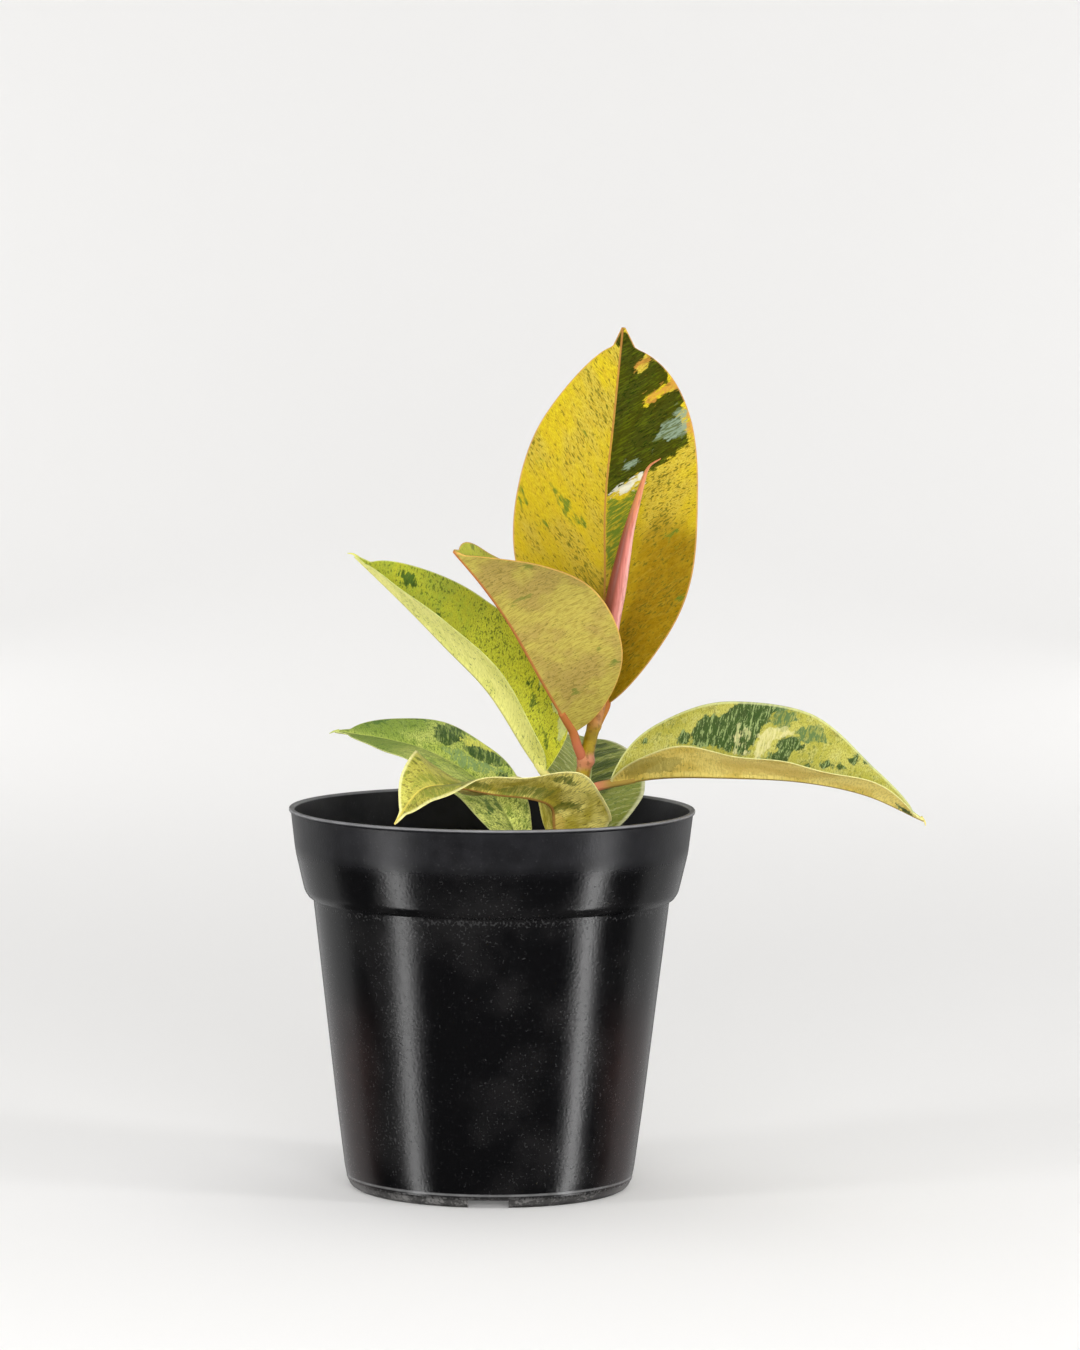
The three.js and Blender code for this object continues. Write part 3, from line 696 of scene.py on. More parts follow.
def stalk_tree():
    """Sweeps a circle along a line of points, as thick at each point as its girth says."""
    tree, nodes, given = new_geometry_tree("stalk", [
        ("Sides", "NodeSocketInt", 24), ("Material", "NodeSocketMaterial", None),
    ])
    line = nodes.add("GeometryNodeMeshToCurve", None, {"Mesh": given["Geometry"]})
    girth = nodes.add("GeometryNodeInputNamedAttribute", {"data_type": "FLOAT"}, {"Name": "girth"})
    line = nodes.add("GeometryNodeSetCurveRadius", None, {"Curve": line, "Radius": girth})
    circle = nodes.add("GeometryNodeCurvePrimitiveCircle", None, {
        "Resolution": given["Sides"], "Radius": 1.0})
    skin = nodes.add("GeometryNodeCurveToMesh", None, {
        "Curve": line, "Profile Curve": circle, "Scale": girth, "Fill Caps": True})
    close_tree(nodes, skin, given["Material"])
    return tree


def carry(mesh, name, values):
    """Gives each point of a mesh a number that a tree or a material reads by name."""
    layer = mesh.attributes.new(name, "FLOAT", "POINT")
    layer.data.foreach_set("value", np.asarray(values, np.float32))


def stalk_mesh(name, points, girths, sides, material):
    """A swept stalk along points, with its radius at each of them, all in millimetres."""
    line = bpy.data.meshes.new(name)
    edges = [(i, i + 1) for i in range(len(points) - 1)]
    line.from_pydata((np.asarray(points, float) * MM).tolist(), edges, [])
    carry(line, "girth", np.asarray(girths, np.float32) * MM)
    return grown_mesh(name, line, stalk_tree(), {"Sides": sides, "Material": material})


def colour_of(red, green, blue):
    """Linear colour with alpha from a display colour of 0 to 255."""
    shares = [((v / 255 + 0.055) / 1.055) ** 2.4 if v > 10 else v / 3295 for v in (red, green, blue)]
    return (*shares, 1)


def stem_finish():
    """Olive bark, browner below, with a pink flush beside the youngest node and at the tip."""
    material, nodes = new_finish("young_bark")
    place = nodes.object_place()
    height = nodes.parts(place)[2]
    grain = nodes.noise(place, 700, 4)
    cloud = nodes.noise(place, 130, 3)
    node_flush = height.band(*metres(STEM_FLUSH))
    lower = 1 - height.within(*metres(STEM_BROWN_FADE))
    upper = height.within(*metres(STEM_PINK_RISE))
    colour = nodes.mix(cloud.within(0.35, 0.65), colour_of(126, 104, 14), colour_of(158, 134, 26))
    colour = nodes.mix(lower * 0.75, colour, colour_of(124, 70, 26))
    colour = nodes.mix(node_flush * 0.75, colour, colour_of(186, 112, 92))
    colour = nodes.mix(upper * 0.6, colour, colour_of(190, 112, 80))
    colour = nodes.mix(grain.within(0.52, 0.64) * 0.45, colour, colour_of(88, 62, 14))
    nodes.surface({"Base Color": colour, "Roughness": 0.5, "Normal": nodes.bump(0.3, 0.0003, grain)})
    return material


stem_t = np.linspace(0, 1, STEM_STATIONS)
stem_points = along(STEM_AXIS, stem_t)
stem_girths = along(STEM_RADIUS, stem_t)[:, 0]
for node_height, swelling in STEM_NODES:
    near = (stem_points[:, 2] - node_height) / STEM_NODE_REACH
    scar = STEM_SCAR_HEIGHT * np.exp(-((near - 0.9) * 5) ** 2)
    stem_girths += swelling * np.exp(-near ** 2) + scar
stem_mesh = stalk_mesh("young_stem", stem_points, stem_girths, STEM_SIDES, stem_finish())
stem = put_in_scene("young_stem", stem_mesh)
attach(stem, "root")
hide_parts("stem")


# New leaf. The next leaf is still rolled in its pink sheath on the growing tip: a slender spear with
# a seam and a curled tip. Painted shade makes its left face dark red, and a painted highlight makes
# its right one pale pink.
SHEATH_AXIS = [
    (42.6, 0, 198), (43, 0, 203.5), (43.4, 0, 211), (45.3, -1, 222), (47.4, -2, 233.5), (49.6, -3, 244.5),
    (52.6, -4, 255.5), (55.3, -5, 265), (57.2, -6, 268.5), (61, -6.5, 271),
]
SHEATH_RADIUS = [2.3, 2.9, 3.4, 3.4, 2.8, 2, 1.3, 0.7, 0.4, 0.18]
SHEATH_STEPS = 160
SHEATH_SIDES = 40
SHEATH_TWIST = 0.9
SHEATH_SEAM = 0.28
SHEATH_SEAM_ANGLE = 1.9
SHEATH_SEAM_WIDTH = 0.12
SHEATH_RIDGE = 0.16
SHEATH_TIP_RISE = (238, 260)


def sheath_mesh():
    """The rolled leaf, each point knowing how far to the right it faces."""
    t = np.linspace(0, 1, SHEATH_STEPS + 1)
    centre = along(SHEATH_AXIS, t)
    radius = along(SHEATH_RADIUS, t)[:, 0]
    ahead = unit(np.gradient(centre, axis=0))
    across = unit(np.cross(ahead, (0, -1, 0)))
    front = np.cross(across, ahead)
    points, turns = [], []
    for i in range(SHEATH_STEPS + 1):
        for angle in round_angles(SHEATH_SIDES):
            turn = angle + SHEATH_TWIST * (t[i] - 0.4)
            ridge = 1 + SHEATH_RIDGE * math.cos(turn) ** 8
            from_seam = math.remainder(angle - SHEATH_SEAM_ANGLE, 2 * math.pi)
            seam = SHEATH_SEAM * math.exp(-(from_seam / SHEATH_SEAM_WIDTH) ** 2)
            r = radius[i] * ridge - seam * min(1, radius[i] / 2)
            points.append(centre[i] + r * (math.sin(turn) * across[i] + math.cos(turn) * front[i]))
            turns.append(0.5 + 0.5 * math.sin(turn))
    mesh = mesh_from("rolled_leaf", points, tube_faces(SHEATH_STEPS + 1, SHEATH_SIDES, turned=True))
    carry(mesh, "sidedness", turns)
    return mesh


sheath = put_in_scene("rolled_new_leaf", sheath_mesh())
skin, nodes = new_finish("sheath_skin")
side = nodes.add("ShaderNodeAttribute", {"attribute_name": "sidedness"}, None, 2)
place = nodes.object_place()
height = nodes.parts(place)[2]
stretched = nodes.add("ShaderNodeMapping", None, {0: place, "Scale": (1400, 1400, 60)})
streak = nodes.noise(stretched, 1, 3)
# Painted shade and highlight: by how far each point faces to the right, the red-pink skin goes from shaded
# dark red on the left face to a pale pink highlight on the right one.
colour = nodes.mix(side.within(0.34, 0.60), colour_of(122, 56, 40), colour_of(190, 112, 100))
colour = nodes.mix(side.within(0.70, 0.88), colour, colour_of(228, 166, 158))
colour = nodes.mix(height.within(*metres(SHEATH_TIP_RISE)) * 0.8, colour, colour_of(196, 124, 70))
colour = nodes.mix(streak.within(0.46, 0.66) * 0.45, colour, colour_of(138, 66, 50))
nodes.surface({"Base Color": colour, "Roughness": 0.42})
sheath.data.materials.append(skin)
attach(sheath, "root")
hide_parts("new_leaf_sheath")


# Upright leaf. The big golden leaf behind the others stands on a short petiole, its upper face to
# the front. Beside its tip the right half is dark green, with orange and grey green in it.
#
# Every leaf grows by one rule. A midrib runs through a few points; its two halves fold up from it,
# broad in the middle and drawn out to a drip tip. Folds are in degrees and sizes are factors, each
# given from the base to the tip. Marks are outlines in millimetres, across from the midrib and
# along from the base, traced for each half. Looks are display colours from 0 to 255, and
# how much of each shows.
THICKNESS = 0.55
MARGIN_THICKNESS = 0.3
KEEL_DEPTH = 1.5
KEEL_TAPER = 0.75
KEEL_HALF_WIDTH = 1.1
GROOVE_DEPTH = 0.3
GROOVE_HALF_WIDTH = 0.7
RIB_BLEND = 3.0
VEIN_RELIEF = 0.05
VEIN_SPACING = 4.6
VEIN_FULL_WIDTH = 12
GROOVE_FULL_WIDTH = 8
CAMBER = 1.0
ROWS = 150
ROW_CROWDING = 1.25
COLUMNS = [0, 0.02, 0.045, 0.075, 0.115, 0.165, 0.225, 0.29, 0.36, 0.43, 0.5, 0.57, 0.64, 0.71, 0.78,
           0.84, 0.89, 0.93, 0.96, 0.985, 1]
TIP_START = 0.955
TIP_WIDTH = 0.1
END_WIDTH = 0.02
PETIOLE_TAPER = 0.3
PETIOLE_SINK = 0.2
PETIOLE_RUN_UNDER = (0, 0.05, 0.1)
PETIOLE_STEPS = 44
PETIOLE_LENGTH = 20.0
PETIOLE_SIDES = 20
HAIR_RADIUS = 0.55
HAIR_END_SHARE = 0.25
HAIR_SIDES = 10
TUBE_RIM = 3.0
TUBE_FRONT = (0.02, -1, 0.03)
MARK_REACH = 8.0
MARK_KINDS = [
    # kind, how ragged its edge is, how much the finest streaks break it up
    ("tint", 0, 0), ("green", 0.6, 0.45), ("dark", 0.45, 0.0), ("grey", 0.6, 0.6), ("cream", 0.5, 0.25),
    ("warm", 0.8, 0.4),
]


def outline(t, leaf):
    """Half width of a blade at t, as a share of its greatest."""
    power = math.log(0.5) / math.log(leaf["widest"] / TIP_START)
    body = np.maximum(np.sin(np.pi * np.minimum(t / TIP_START, 1) ** power), 0)
    body = np.where(t < leaf["widest"], body ** leaf["base"], body ** 0.5)
    fade = np.clip((t - 0.6) / 0.3, 0, 1)
    tip = TIP_WIDTH * np.minimum((1 - t) / (1 - TIP_START), 1) * fade + END_WIDTH
    return np.hypot(body, tip)


def leaf_frame(leaf, t):
    """Midrib point, direction, up and side at each t."""
    step = 0.001
    ahead = along(leaf["midrib"], np.minimum(t + step, 1)) - along(leaf["midrib"], np.maximum(t - step, 0))
    tangent = unit(ahead)
    up = along(leaf["up"], t)
    up = unit(up - (up * tangent).sum(1, keepdims=True) * tangent)
    return along(leaf["midrib"], t), tangent, up, np.cross(tangent, up)


def inside_depth(places, corners):
    """How far each place lies inside a closed outline; negative outside it."""
    corners = np.asarray(corners, float)
    x, y = places[..., 0], places[..., 1]
    nearest = np.full(x.shape, 1e9)
    within = np.zeros(x.shape, bool)
    for (ax, ay), (bx, by) in zip(corners, np.roll(corners, -1, axis=0)):
        run, rise = bx - ax, by - ay
        f = np.clip(((x - ax) * run + (y - ay) * rise) / max(run * run + rise * rise, 1e-9), 0, 1)
        nearest = np.minimum(nearest, np.hypot(x - ax - f * run, y - ay - f * rise))
        crosses = (ay > y) != (by > y)
        reach = ax + (y - ay) * run / (rise if rise else 1e-9)
        within ^= crosses & (x < reach)
    return np.where(within, nearest, -nearest)


def half_blade(leaf, t, name):
    """Upper and lower points of one half, [row, column], with what its surface carries."""
    sign = -1 if name == "left" else 1
    half = leaf[name]
    point, tangent, up, side = leaf_frame(leaf, t)
    share = np.array(COLUMNS)
    width = leaf["half_width"] * outline(t, leaf) * along(half["size"], t)[:, 0]
    fold = np.radians(along(half["fold"], t))
    outward = sign * np.cos(fold) * side + np.sin(fold) * up
    flat_normal = -sign * np.sin(fold) * side + np.cos(fold) * up
    height, count, phase = half["wave"]
    wave = height * np.sin(2 * np.pi * (count * t + phase)) * np.sin(np.pi * t)
    across = width[:, None] * share
    step = np.linalg.norm(np.diff(point, axis=0), axis=1)
    down = np.concatenate([[0], np.cumsum(step)])[:, None] + 0 * across
    rise = wave[:, None] * share ** 2
    rise = rise + leaf.get("camber", CAMBER) * np.sin(np.pi * t)[:, None] * 4 * share * (1 - share)
    vein = down - leaf["vein_slope"][name == "right"] * across
    ripple = np.sin(2 * np.pi * vein / VEIN_SPACING)
    vein_fade = np.clip(width[:, None] / VEIN_FULL_WIDTH, 0, 1)
    rise = rise + VEIN_RELIEF * ripple * np.sin(np.pi * share) * vein_fade
    blend = np.clip(across / RIB_BLEND, 0, 1)
    blend = (blend * blend * (3 - 2 * blend))[..., None]
    normal = unit(blend * flat_normal[:, None] + (1 - blend) * up[:, None])
    middle = point[:, None] + outward[:, None] * across[..., None] + flat_normal[:, None] * rise[..., None]
    groove = GROOVE_DEPTH * np.exp(-(across / GROOVE_HALF_WIDTH) ** 2)
    groove = groove * np.minimum(width / GROOVE_FULL_WIDTH, 1)[:, None]
    keel = KEEL_DEPTH * (1 - KEEL_TAPER * t)[:, None] * np.exp(-(across / KEEL_HALF_WIDTH) ** 2)
    thick = THICKNESS + (MARGIN_THICKNESS - THICKNESS) * share ** 3
    upper = middle - normal * groove[..., None]
    lower = middle - normal * (thick + keel)[..., None]
    marks = {}
    for kind, _, _ in MARK_KINDS:
        depth = np.full(across.shape, -MARK_REACH)
        for corners in half.get("marks", {}).get(kind, []):
            depth = np.maximum(depth, inside_depth(np.stack([across, down], -1), corners))
        marks[kind] = np.clip(depth, -MARK_REACH, MARK_REACH)
    return upper, lower, {
        "across": sign * across, "down": down, "vein": vein, "rim": width[:, None] - across, "rib": across,
        **marks}


def once_round(left_up, right_up, right_low, left_low):
    """Columns from the left margin over the upper face to the right one, and back underneath."""
    return np.concatenate([left_up[:, ::-1], right_up[:, 1:], right_low[:, ::-1], left_low[:, 1:]], axis=1)


def tube_points(axis, radius, end_share, sides):
    """Points of a petiole or hair, ring by ring, thinning from its start to its end."""
    s = np.linspace(0, 1, PETIOLE_STEPS + 1)
    centre = along(axis, s)
    ahead = unit(np.gradient(centre, axis=0))
    across = unit(np.cross(ahead, TUBE_FRONT))
    other = np.cross(across, ahead)
    points = []
    for i in range(PETIOLE_STEPS + 1):
        thick = radius * (1 + (end_share - 1) * s[i])
        for angle in round_angles(sides):
            outward = math.cos(angle) * across[i] + math.sin(angle) * other[i]
            points.append((centre[i] + thick * outward).tolist())
    return points


def leaf_mesh(name, leaf):
    """One leaf in one mesh: the blade, its petiole and, where it has one, the hair of its tip."""
    t = 1 - (1 - np.linspace(0, 1, ROWS + 1)) ** ROW_CROWDING
    left_up, left_low, left = half_blade(leaf, t, "left")
    right_up, right_low, right = half_blade(leaf, t, "right")
    loop = once_round(left_up, right_up, right_low, left_low)
    carried = {key: once_round(left[key], right[key], right[key], left[key]) for key in left}
    columns = loop.shape[1]
    half_columns = len(COLUMNS) * 2 - 1
    under = np.repeat([[0.0] * half_columns + [1.0] * (columns - half_columns)], len(t), axis=0)
    points = loop.reshape(-1, 3).tolist()
    faces = ring_faces(ROWS + 1, columns)
    for row, turned in ((0, True), (ROWS, False)):
        for k in range(half_columns - 1):
            start = row * columns
            quad = (start + k, start + columns - 1 - k, start + columns - 2 - k, start + k + 1)
            faces.append(quad if turned else quad[::-1])
    values = {key: value.reshape(-1).tolist() for key, value in carried.items()}
    values["under"] = under.reshape(-1).tolist()
    values["stalk"] = [0.0] * len(points)

    middle, _, up, _ = leaf_frame(leaf, np.array(PETIOLE_RUN_UNDER))
    petiole = [*leaf["petiole"], *(middle - (THICKNESS + PETIOLE_SINK) * up)]
    tubes = [(petiole, leaf["petiole_radius"], 1 - PETIOLE_TAPER, PETIOLE_SIDES, 1.0)]
    if "hair" in leaf:
        tubes.append((leaf["hair"], HAIR_RADIUS, HAIR_END_SHARE, HAIR_SIDES, 0.0))
    mark_keys = [kind for kind, _, _ in MARK_KINDS]
    tip = float(carried["down"].max())
    for axis, radius, end_share, sides, stalk in tubes:
        first = len(points)
        points += tube_points(axis, radius, end_share, sides)
        faces += tube_faces(PETIOLE_STEPS + 1, sides, first, turned=True)
        for key, value in values.items():
            plain = {"stalk": stalk, "down": tip, "rim": TUBE_RIM, "under": stalk}.get(key, 0.0)
            plain = -MARK_REACH if key in mark_keys else plain
            value.extend([plain] * (len(points) - first))
        if stalk:
            before_blade = PETIOLE_LENGTH * (np.linspace(0, 1, PETIOLE_STEPS + 1) - 1)
            values["down"][first:] = np.repeat(before_blade, sides).tolist()
    mesh = mesh_from(name, points, faces)
    for key, value in values.items():
        carry(mesh, key, value)
    return mesh


def leaf_finish(name, looks):
    """Semi-gloss leaf skin. Its flecks and the ragged edges of its marks run out along the veins."""
    material, nodes = new_finish(name)

    def carried(key):
        return nodes.add("ShaderNodeAttribute", {"attribute_name": key}, None, 2)

    across, down, rim, rib = carried("across"), carried("down"), carried("rim"), carried("rib")
    under, stalk, vein = carried("under"), carried("stalk"), carried("vein")

    def skin_noise(along_veins, over_veins, offset, detail):
        where = nodes.add("ShaderNodeCombineXYZ", None, {
            0: across * along_veins, 1: vein * over_veins, 2: looks["seed"] + offset})
        return nodes.noise(where, 1.0, detail)

    cloud = skin_noise(0.07, 0.06, 11.0, 3)
    blots = skin_noise(0.30, 0.34, 27.0, 4)
    long_streaks = skin_noise(0.13, 0.75, 0.0, 4)
    fine_streaks = skin_noise(0.32, 1.6, 3.0, 3)
    weave = skin_noise(1.1, 2.8, 15.0, 3)
    dashes = skin_noise(0.5, 1.35, 7.0, 1.5)
    dots = skin_noise(0.85, 0.95, 19.0, 1.5)
    ragged = (blots - 0.5) * 13 + (long_streaks - 0.5) * 8 + (fine_streaks - 0.5) * 5
    rays = (vein / VEIN_SPACING + (fine_streaks - 0.5) * 0.9 + (cloud - 0.5) * 3).maths("FRACT")
    rays = (rays - 0.5).maths("ABSOLUTE").within(0.30, 0.47) * long_streaks.within(0.38, 0.56)

    upper = nodes.mix(cloud.within(0.40, 0.60), looks["base"], looks["second"])
    # On the left arching leaf the tint mark is painted light, and on the right leaf it is painted shade.
    tinted = ((carried("tint") + (cloud - 0.5) * 20) / MARK_REACH).within(-0.9, 0.6)
    upper = nodes.mix(tinted * looks["tint_share"], upper, looks["tint"])
    low_down = 1 - down.within(*looks["low_reach"])
    upper = nodes.mix(low_down * looks["low_share"], upper, looks["low"])
    haze = blots.within(0.46, 0.62) * (1 - tinted * 0.6)
    upper = nodes.mix(haze * looks["haze_share"], upper, looks["haze"])
    upper = nodes.mix(rays * looks["ray_share"], upper, looks["ray"])
    upper = nodes.mix(weave.within(0.46, 0.57) * looks["grain_share"], upper, looks["grain"])
    lower = nodes.mix(cloud.within(0.42, 0.60), looks["under"], looks["under_second"])
    under_grain = fine_streaks.within(0.46, 0.62) * looks["under_grain_share"]
    lower = nodes.mix(under_grain, lower, looks["under_grain"])
    colour = nodes.mix(under, upper, lower)

    crowd = (cloud - 0.5) * 0.30 + (blots - 0.5) * 0.25
    thinned = under * looks["under_thinned"]
    fleck = (dashes + crowd - thinned).within(looks["dash_from"], looks["dash_from"] + 0.04)
    dot = (dots + crowd - thinned).within(looks["dot_from"], looks["dot_from"] + 0.04)
    colour = nodes.mix(fleck * looks["fleck_share"], colour, looks["fleck"])
    colour = nodes.mix(dot * looks["fleck_share"], colour, looks["fleck"])

    streaks = long_streaks * 0.5 + fine_streaks * 0.5
    # On the front leaf some green, grey and warm marks are painted shade.
    for kind, ragged_by, gaps in MARK_KINDS[1:]:
        mask = (carried(kind) + ragged * ragged_by).within(-0.4, 0.4)
        mask = mask * (1 - streaks.within(0.48, 0.56) * looks.get(kind + "_gaps", gaps))
        patch = looks[kind]
        if kind == "dark":
            pale = (streaks * 0.75 + weave * 0.25).within(0.50, 0.57) * looks["dark_streak_share"]
            patch = nodes.mix(blots.within(0.48, 0.62) * 0.5, patch, looks["dark_second"])
            patch = nodes.mix(pale, patch, looks["dark_streak"])
        colour = nodes.mix(mask * looks.get(kind + "_share", 0.92), colour, patch)

    edge = 1 - rim.within(looks["margin_width"] * 0.4, looks["margin_width"])
    edge_colour = nodes.mix(under, looks["margin"], looks["under_margin"])
    colour = nodes.mix(edge * (0.25 + long_streaks * 0.9), colour, edge_colour)
    rib_line = (1 - rib.within(0.2, 0.55)) * (1 - under)
    colour = nodes.mix(rib_line * looks["rib_share"], colour, looks["rib"])
    keel_line = (1 - rib.within(looks["keel_width"] * 0.6, looks["keel_width"])) * under
    colour = nodes.mix(keel_line * 0.9, colour, looks["keel"])
    stalk_colour = nodes.mix(down.within(-15, -9), looks["stalk"], looks["keel"])
    stalk_colour = nodes.mix(fine_streaks.within(0.48, 0.62) * 0.45, stalk_colour, looks["stalk_shade"])
    colour = nodes.mix(stalk, colour, stalk_colour)

    rough = 0.42 + under * 0.22 + (fine_streaks - 0.5) * 0.3
    relief = fine_streaks * 0.6 + weave * 0.4 - rays * 0.4
    bump = nodes.bump(0.6, 0.0006, relief)
    nodes.surface({
        "Base Color": colour, "Roughness": rough, "Normal": bump, "Specular IOR Level": looks["gloss"]})
    return material


def grow_leaf(node, name, leaf, looks):
    """One leaf in the scene; looks that it doesn't give are those of LEAF_LOOKS."""
    looks = {
        key: colour_of(*value) if isinstance(value, tuple) and len(value) == 3 else value
        for key, value in {**LEAF_LOOKS, **looks}.items()
    }
    piece = put_in_scene(name, leaf_mesh(name, leaf))
    piece.data.materials.append(leaf_finish(name + "_skin", looks))
    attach(piece, "root")
    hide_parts(node)


LEAF_LOOKS = {
    "base": (192, 172, 32), "second": (184, 166, 60), "tint": (104, 76, 1), "tint_share": 0.9,
    "haze": (176, 148, 40), "haze_share": 0.5, "low": (130, 98, 4), "low_share": 0.0,
    "low_reach": (10, 100), "ray": (226, 208, 96), "ray_share": 0.06, "grain": (144, 118, 20),
    "grain_share": 0.6, "fleck": (78, 78, 18), "fleck_share": 0.7, "dash_from": 0.615, "dot_from": 0.63,
    "green": (80, 102, 30), "dark": (14, 36, 2), "dark_second": (7, 22, 1), "dark_streak": (90, 106, 8),
    "dark_streak_share": 0.35, "grey": (120, 136, 114), "grey_gaps": 0.75, "cream": (200, 198, 180),
    "warm": (176, 126, 52), "margin": (192, 146, 88), "margin_width": 0.65, "rib": (158, 110, 54),
    "rib_share": 0.85, "under": (192, 178, 94), "under_second": (178, 160, 98),
    "under_grain": (158, 140, 72), "under_grain_share": 0.5, "under_thinned": 0.05,
    "under_margin": (208, 160, 78), "keel": (168, 102, 54), "keel_width": 0.8, "stalk": (176, 102, 72),
    "stalk_shade": (124, 66, 38), "gloss": 0.2,
}
grow_leaf("leaf_upright", "upright_leaf", {
    "midrib": [
        (42, 4, 179.5), (41, 8, 203), (41, 12, 227.5), (41, 16, 254.5), (44, 20, 285.5), (47, 22, 318),
    ],
    "up": [(0, -1, 0.1)], "half_width": 34, "base": 0.7, "widest": 0.5, "vein_slope": (1.2, 0.7),
    "petiole": [(37, 0, 169), (39.5, 2.5, 174)], "petiole_radius": 1.8,
    "left": {
        "fold": [25, 15, 8, 5, 5, 5], "size": [1, 1, 1, 1, 0.98, 0.7], "wave": (0.5, 3, 0.1),
        "marks": {
            "tint": [[(0, -6), (36, -6), (36, 14), (16, 24), (0, 40)]],
            "dark": [[(-3, 132), (1, 133), (6, 138), (6, 147), (-3, 147)]],
            "green": [
                [(20, 80), (17, 77), (14, 75), (12, 70), (7, 67), (8, 65), (12, 67), (16, 72)],
                [(27, 88), (24, 88), (24, 86), (26, 85)], [(33, 78), (29, 74), (30, 72), (32, 74)],
                [(25, 67), (22, 67), (22, 64)], [(12, 104), (8, 99), (9, 98)],
            ],
        },
    },
    "right": {
        "fold": [25, 15, 8, 5, 5, 5], "size": [1.1, 1.05, 1, 1.04, 1.18, 1.4], "wave": (0.5, 3, 0.6),
        "marks": {
            # Painted shade in part: this ochre tint is the leaf's own colour, deepened where this half
            # turns away from the light.
            "tint": [[(0, 0), (36, 0), (37, 58), (30, 66), (18, 62), (12, 60), (8, 40)]],
            "dark": [[
                (-3, 142), (2, 138), (5, 135), (9, 132), (9, 128), (6, 126), (8, 124), (10, 126),
                (11, 130), (15, 129), (19, 125), (19, 121), (16, 119), (11, 115), (11, 112), (14, 114),
                (17, 117), (21, 119), (25, 121), (27, 119), (27, 117), (25, 113), (24, 108), (27, 104),
                (29, 102), (28, 100), (25, 98), (23, 94), (20, 92), (18, 89), (12, 87), (9, 84), (4, 80),
                (-3, 75),
            ]],
            "grey": [
                [
                    (24, 113), (27, 112), (28, 105), (26, 102), (22, 101), (17, 99), (15, 96), (17, 102),
                    (20, 107),
                ],
                [(6, 90), (11, 93), (12, 91), (7, 87)],
            ],
            "green": [
                [(0, 76), (6, 77), (11, 80), (14, 80), (12, 72), (9, 63), (5, 52), (0, 48)],
                [(22, 62), (27, 65), (27, 63), (22, 60)], [(21, 56), (26, 58), (26, 56)],
                [(26, 39), (29, 41), (29, 39)],
            ],
            # Painted sheen: this cream streak beside the dark patch stands in for the sheen of the leaf
            # there.
            "cream": [[(2, 77), (5, 78), (10, 81), (13, 83), (14, 86), (12, 87), (8, 83), (4, 80)]],
            "warm": [
                [(6, 126), (8, 124), (10, 126), (10, 130), (8, 129)],
                [
                    (11, 112), (14, 114), (17, 117), (21, 119), (24, 121), (22, 123), (19, 124),
                    (19, 121), (16, 119), (11, 115),
                ],
                [(27, 111), (30, 108), (30, 101), (28, 104)],
            ],
        },
    },
}, {
    "seed": 1.0, "gloss": 0.05, "low_share": 0.6, "low_reach": (10, 120), "green_gaps": 0.6,
    "stalk": (160, 112, 48), "stalk_shade": (110, 76, 24),
})


# Folded leaf. It comes forward over the middle of the plant with its left half turned down, so that
# the matt khaki underside and the orange keel show; a scrap of the right half shows at the tip.
grow_leaf("leaf_folded", "folded_leaf", {
    "midrib": [(30, -6, 170.5), (19, -26, 190.5), (7, -48, 213), (-3, -68, 228.5), (-13.5, -86, 242)],
    "up": [(0.6, 0.6, 0.5)], "half_width": 33, "base": 0.6, "widest": 0.45, "vein_slope": (0.15, 0.15),
    "petiole": [(34, 0, 158), (31.5, -3.5, 164)], "petiole_radius": 1.9,
    "left": {
        "fold": [40, 40, 45, 40, 25], "size": [0.95, 1.06, 1, 0.88, 0.6], "wave": (0, 0, 0),
        "marks": {
            "green": [
                [(15, 92), (18, 95), (19, 93), (16, 91)], [(7, 76), (12, 76), (12, 74), (7, 74)],
                [(25, 28), (27, 31), (28, 29), (26, 27)], [(7, 21), (11, 21), (10, 19), (7, 19)],
                [(12, 56), (14, 56), (13, 54)], [(3, 75), (5, 75), (5, 73)],
                [(21, 37), (23, 37), (22, 35)],
            ],
            "tint": [[(0, 70), (34, 66), (30, 100), (0, 116)]],
        },
    },
    "right": {
        "fold": [55, 58, 60, 62, 55], "size": [1, 0.9, 0.7, 0.55, 0.78], "wave": (0, 0, 0),
        "marks": {"green": [[(9, 104), (15, 100), (14, 98), (8, 101)]]},
    },
}, {
    "seed": 21.0, "base": (172, 176, 60), "second": (160, 162, 54), "dash_from": 0.61, "dot_from": 0.6,
    "under_thinned": 0.03, "fleck": (102, 94, 38), "fleck_share": 0.5, "haze": (164, 170, 52),
    "grain": (150, 146, 46), "grain_share": 0.4, "under": (174, 160, 74), "under_second": (162, 141, 74),
    "green": (104, 116, 44), "under_grain": (136, 118, 50), "under_grain_share": 0.6,
})


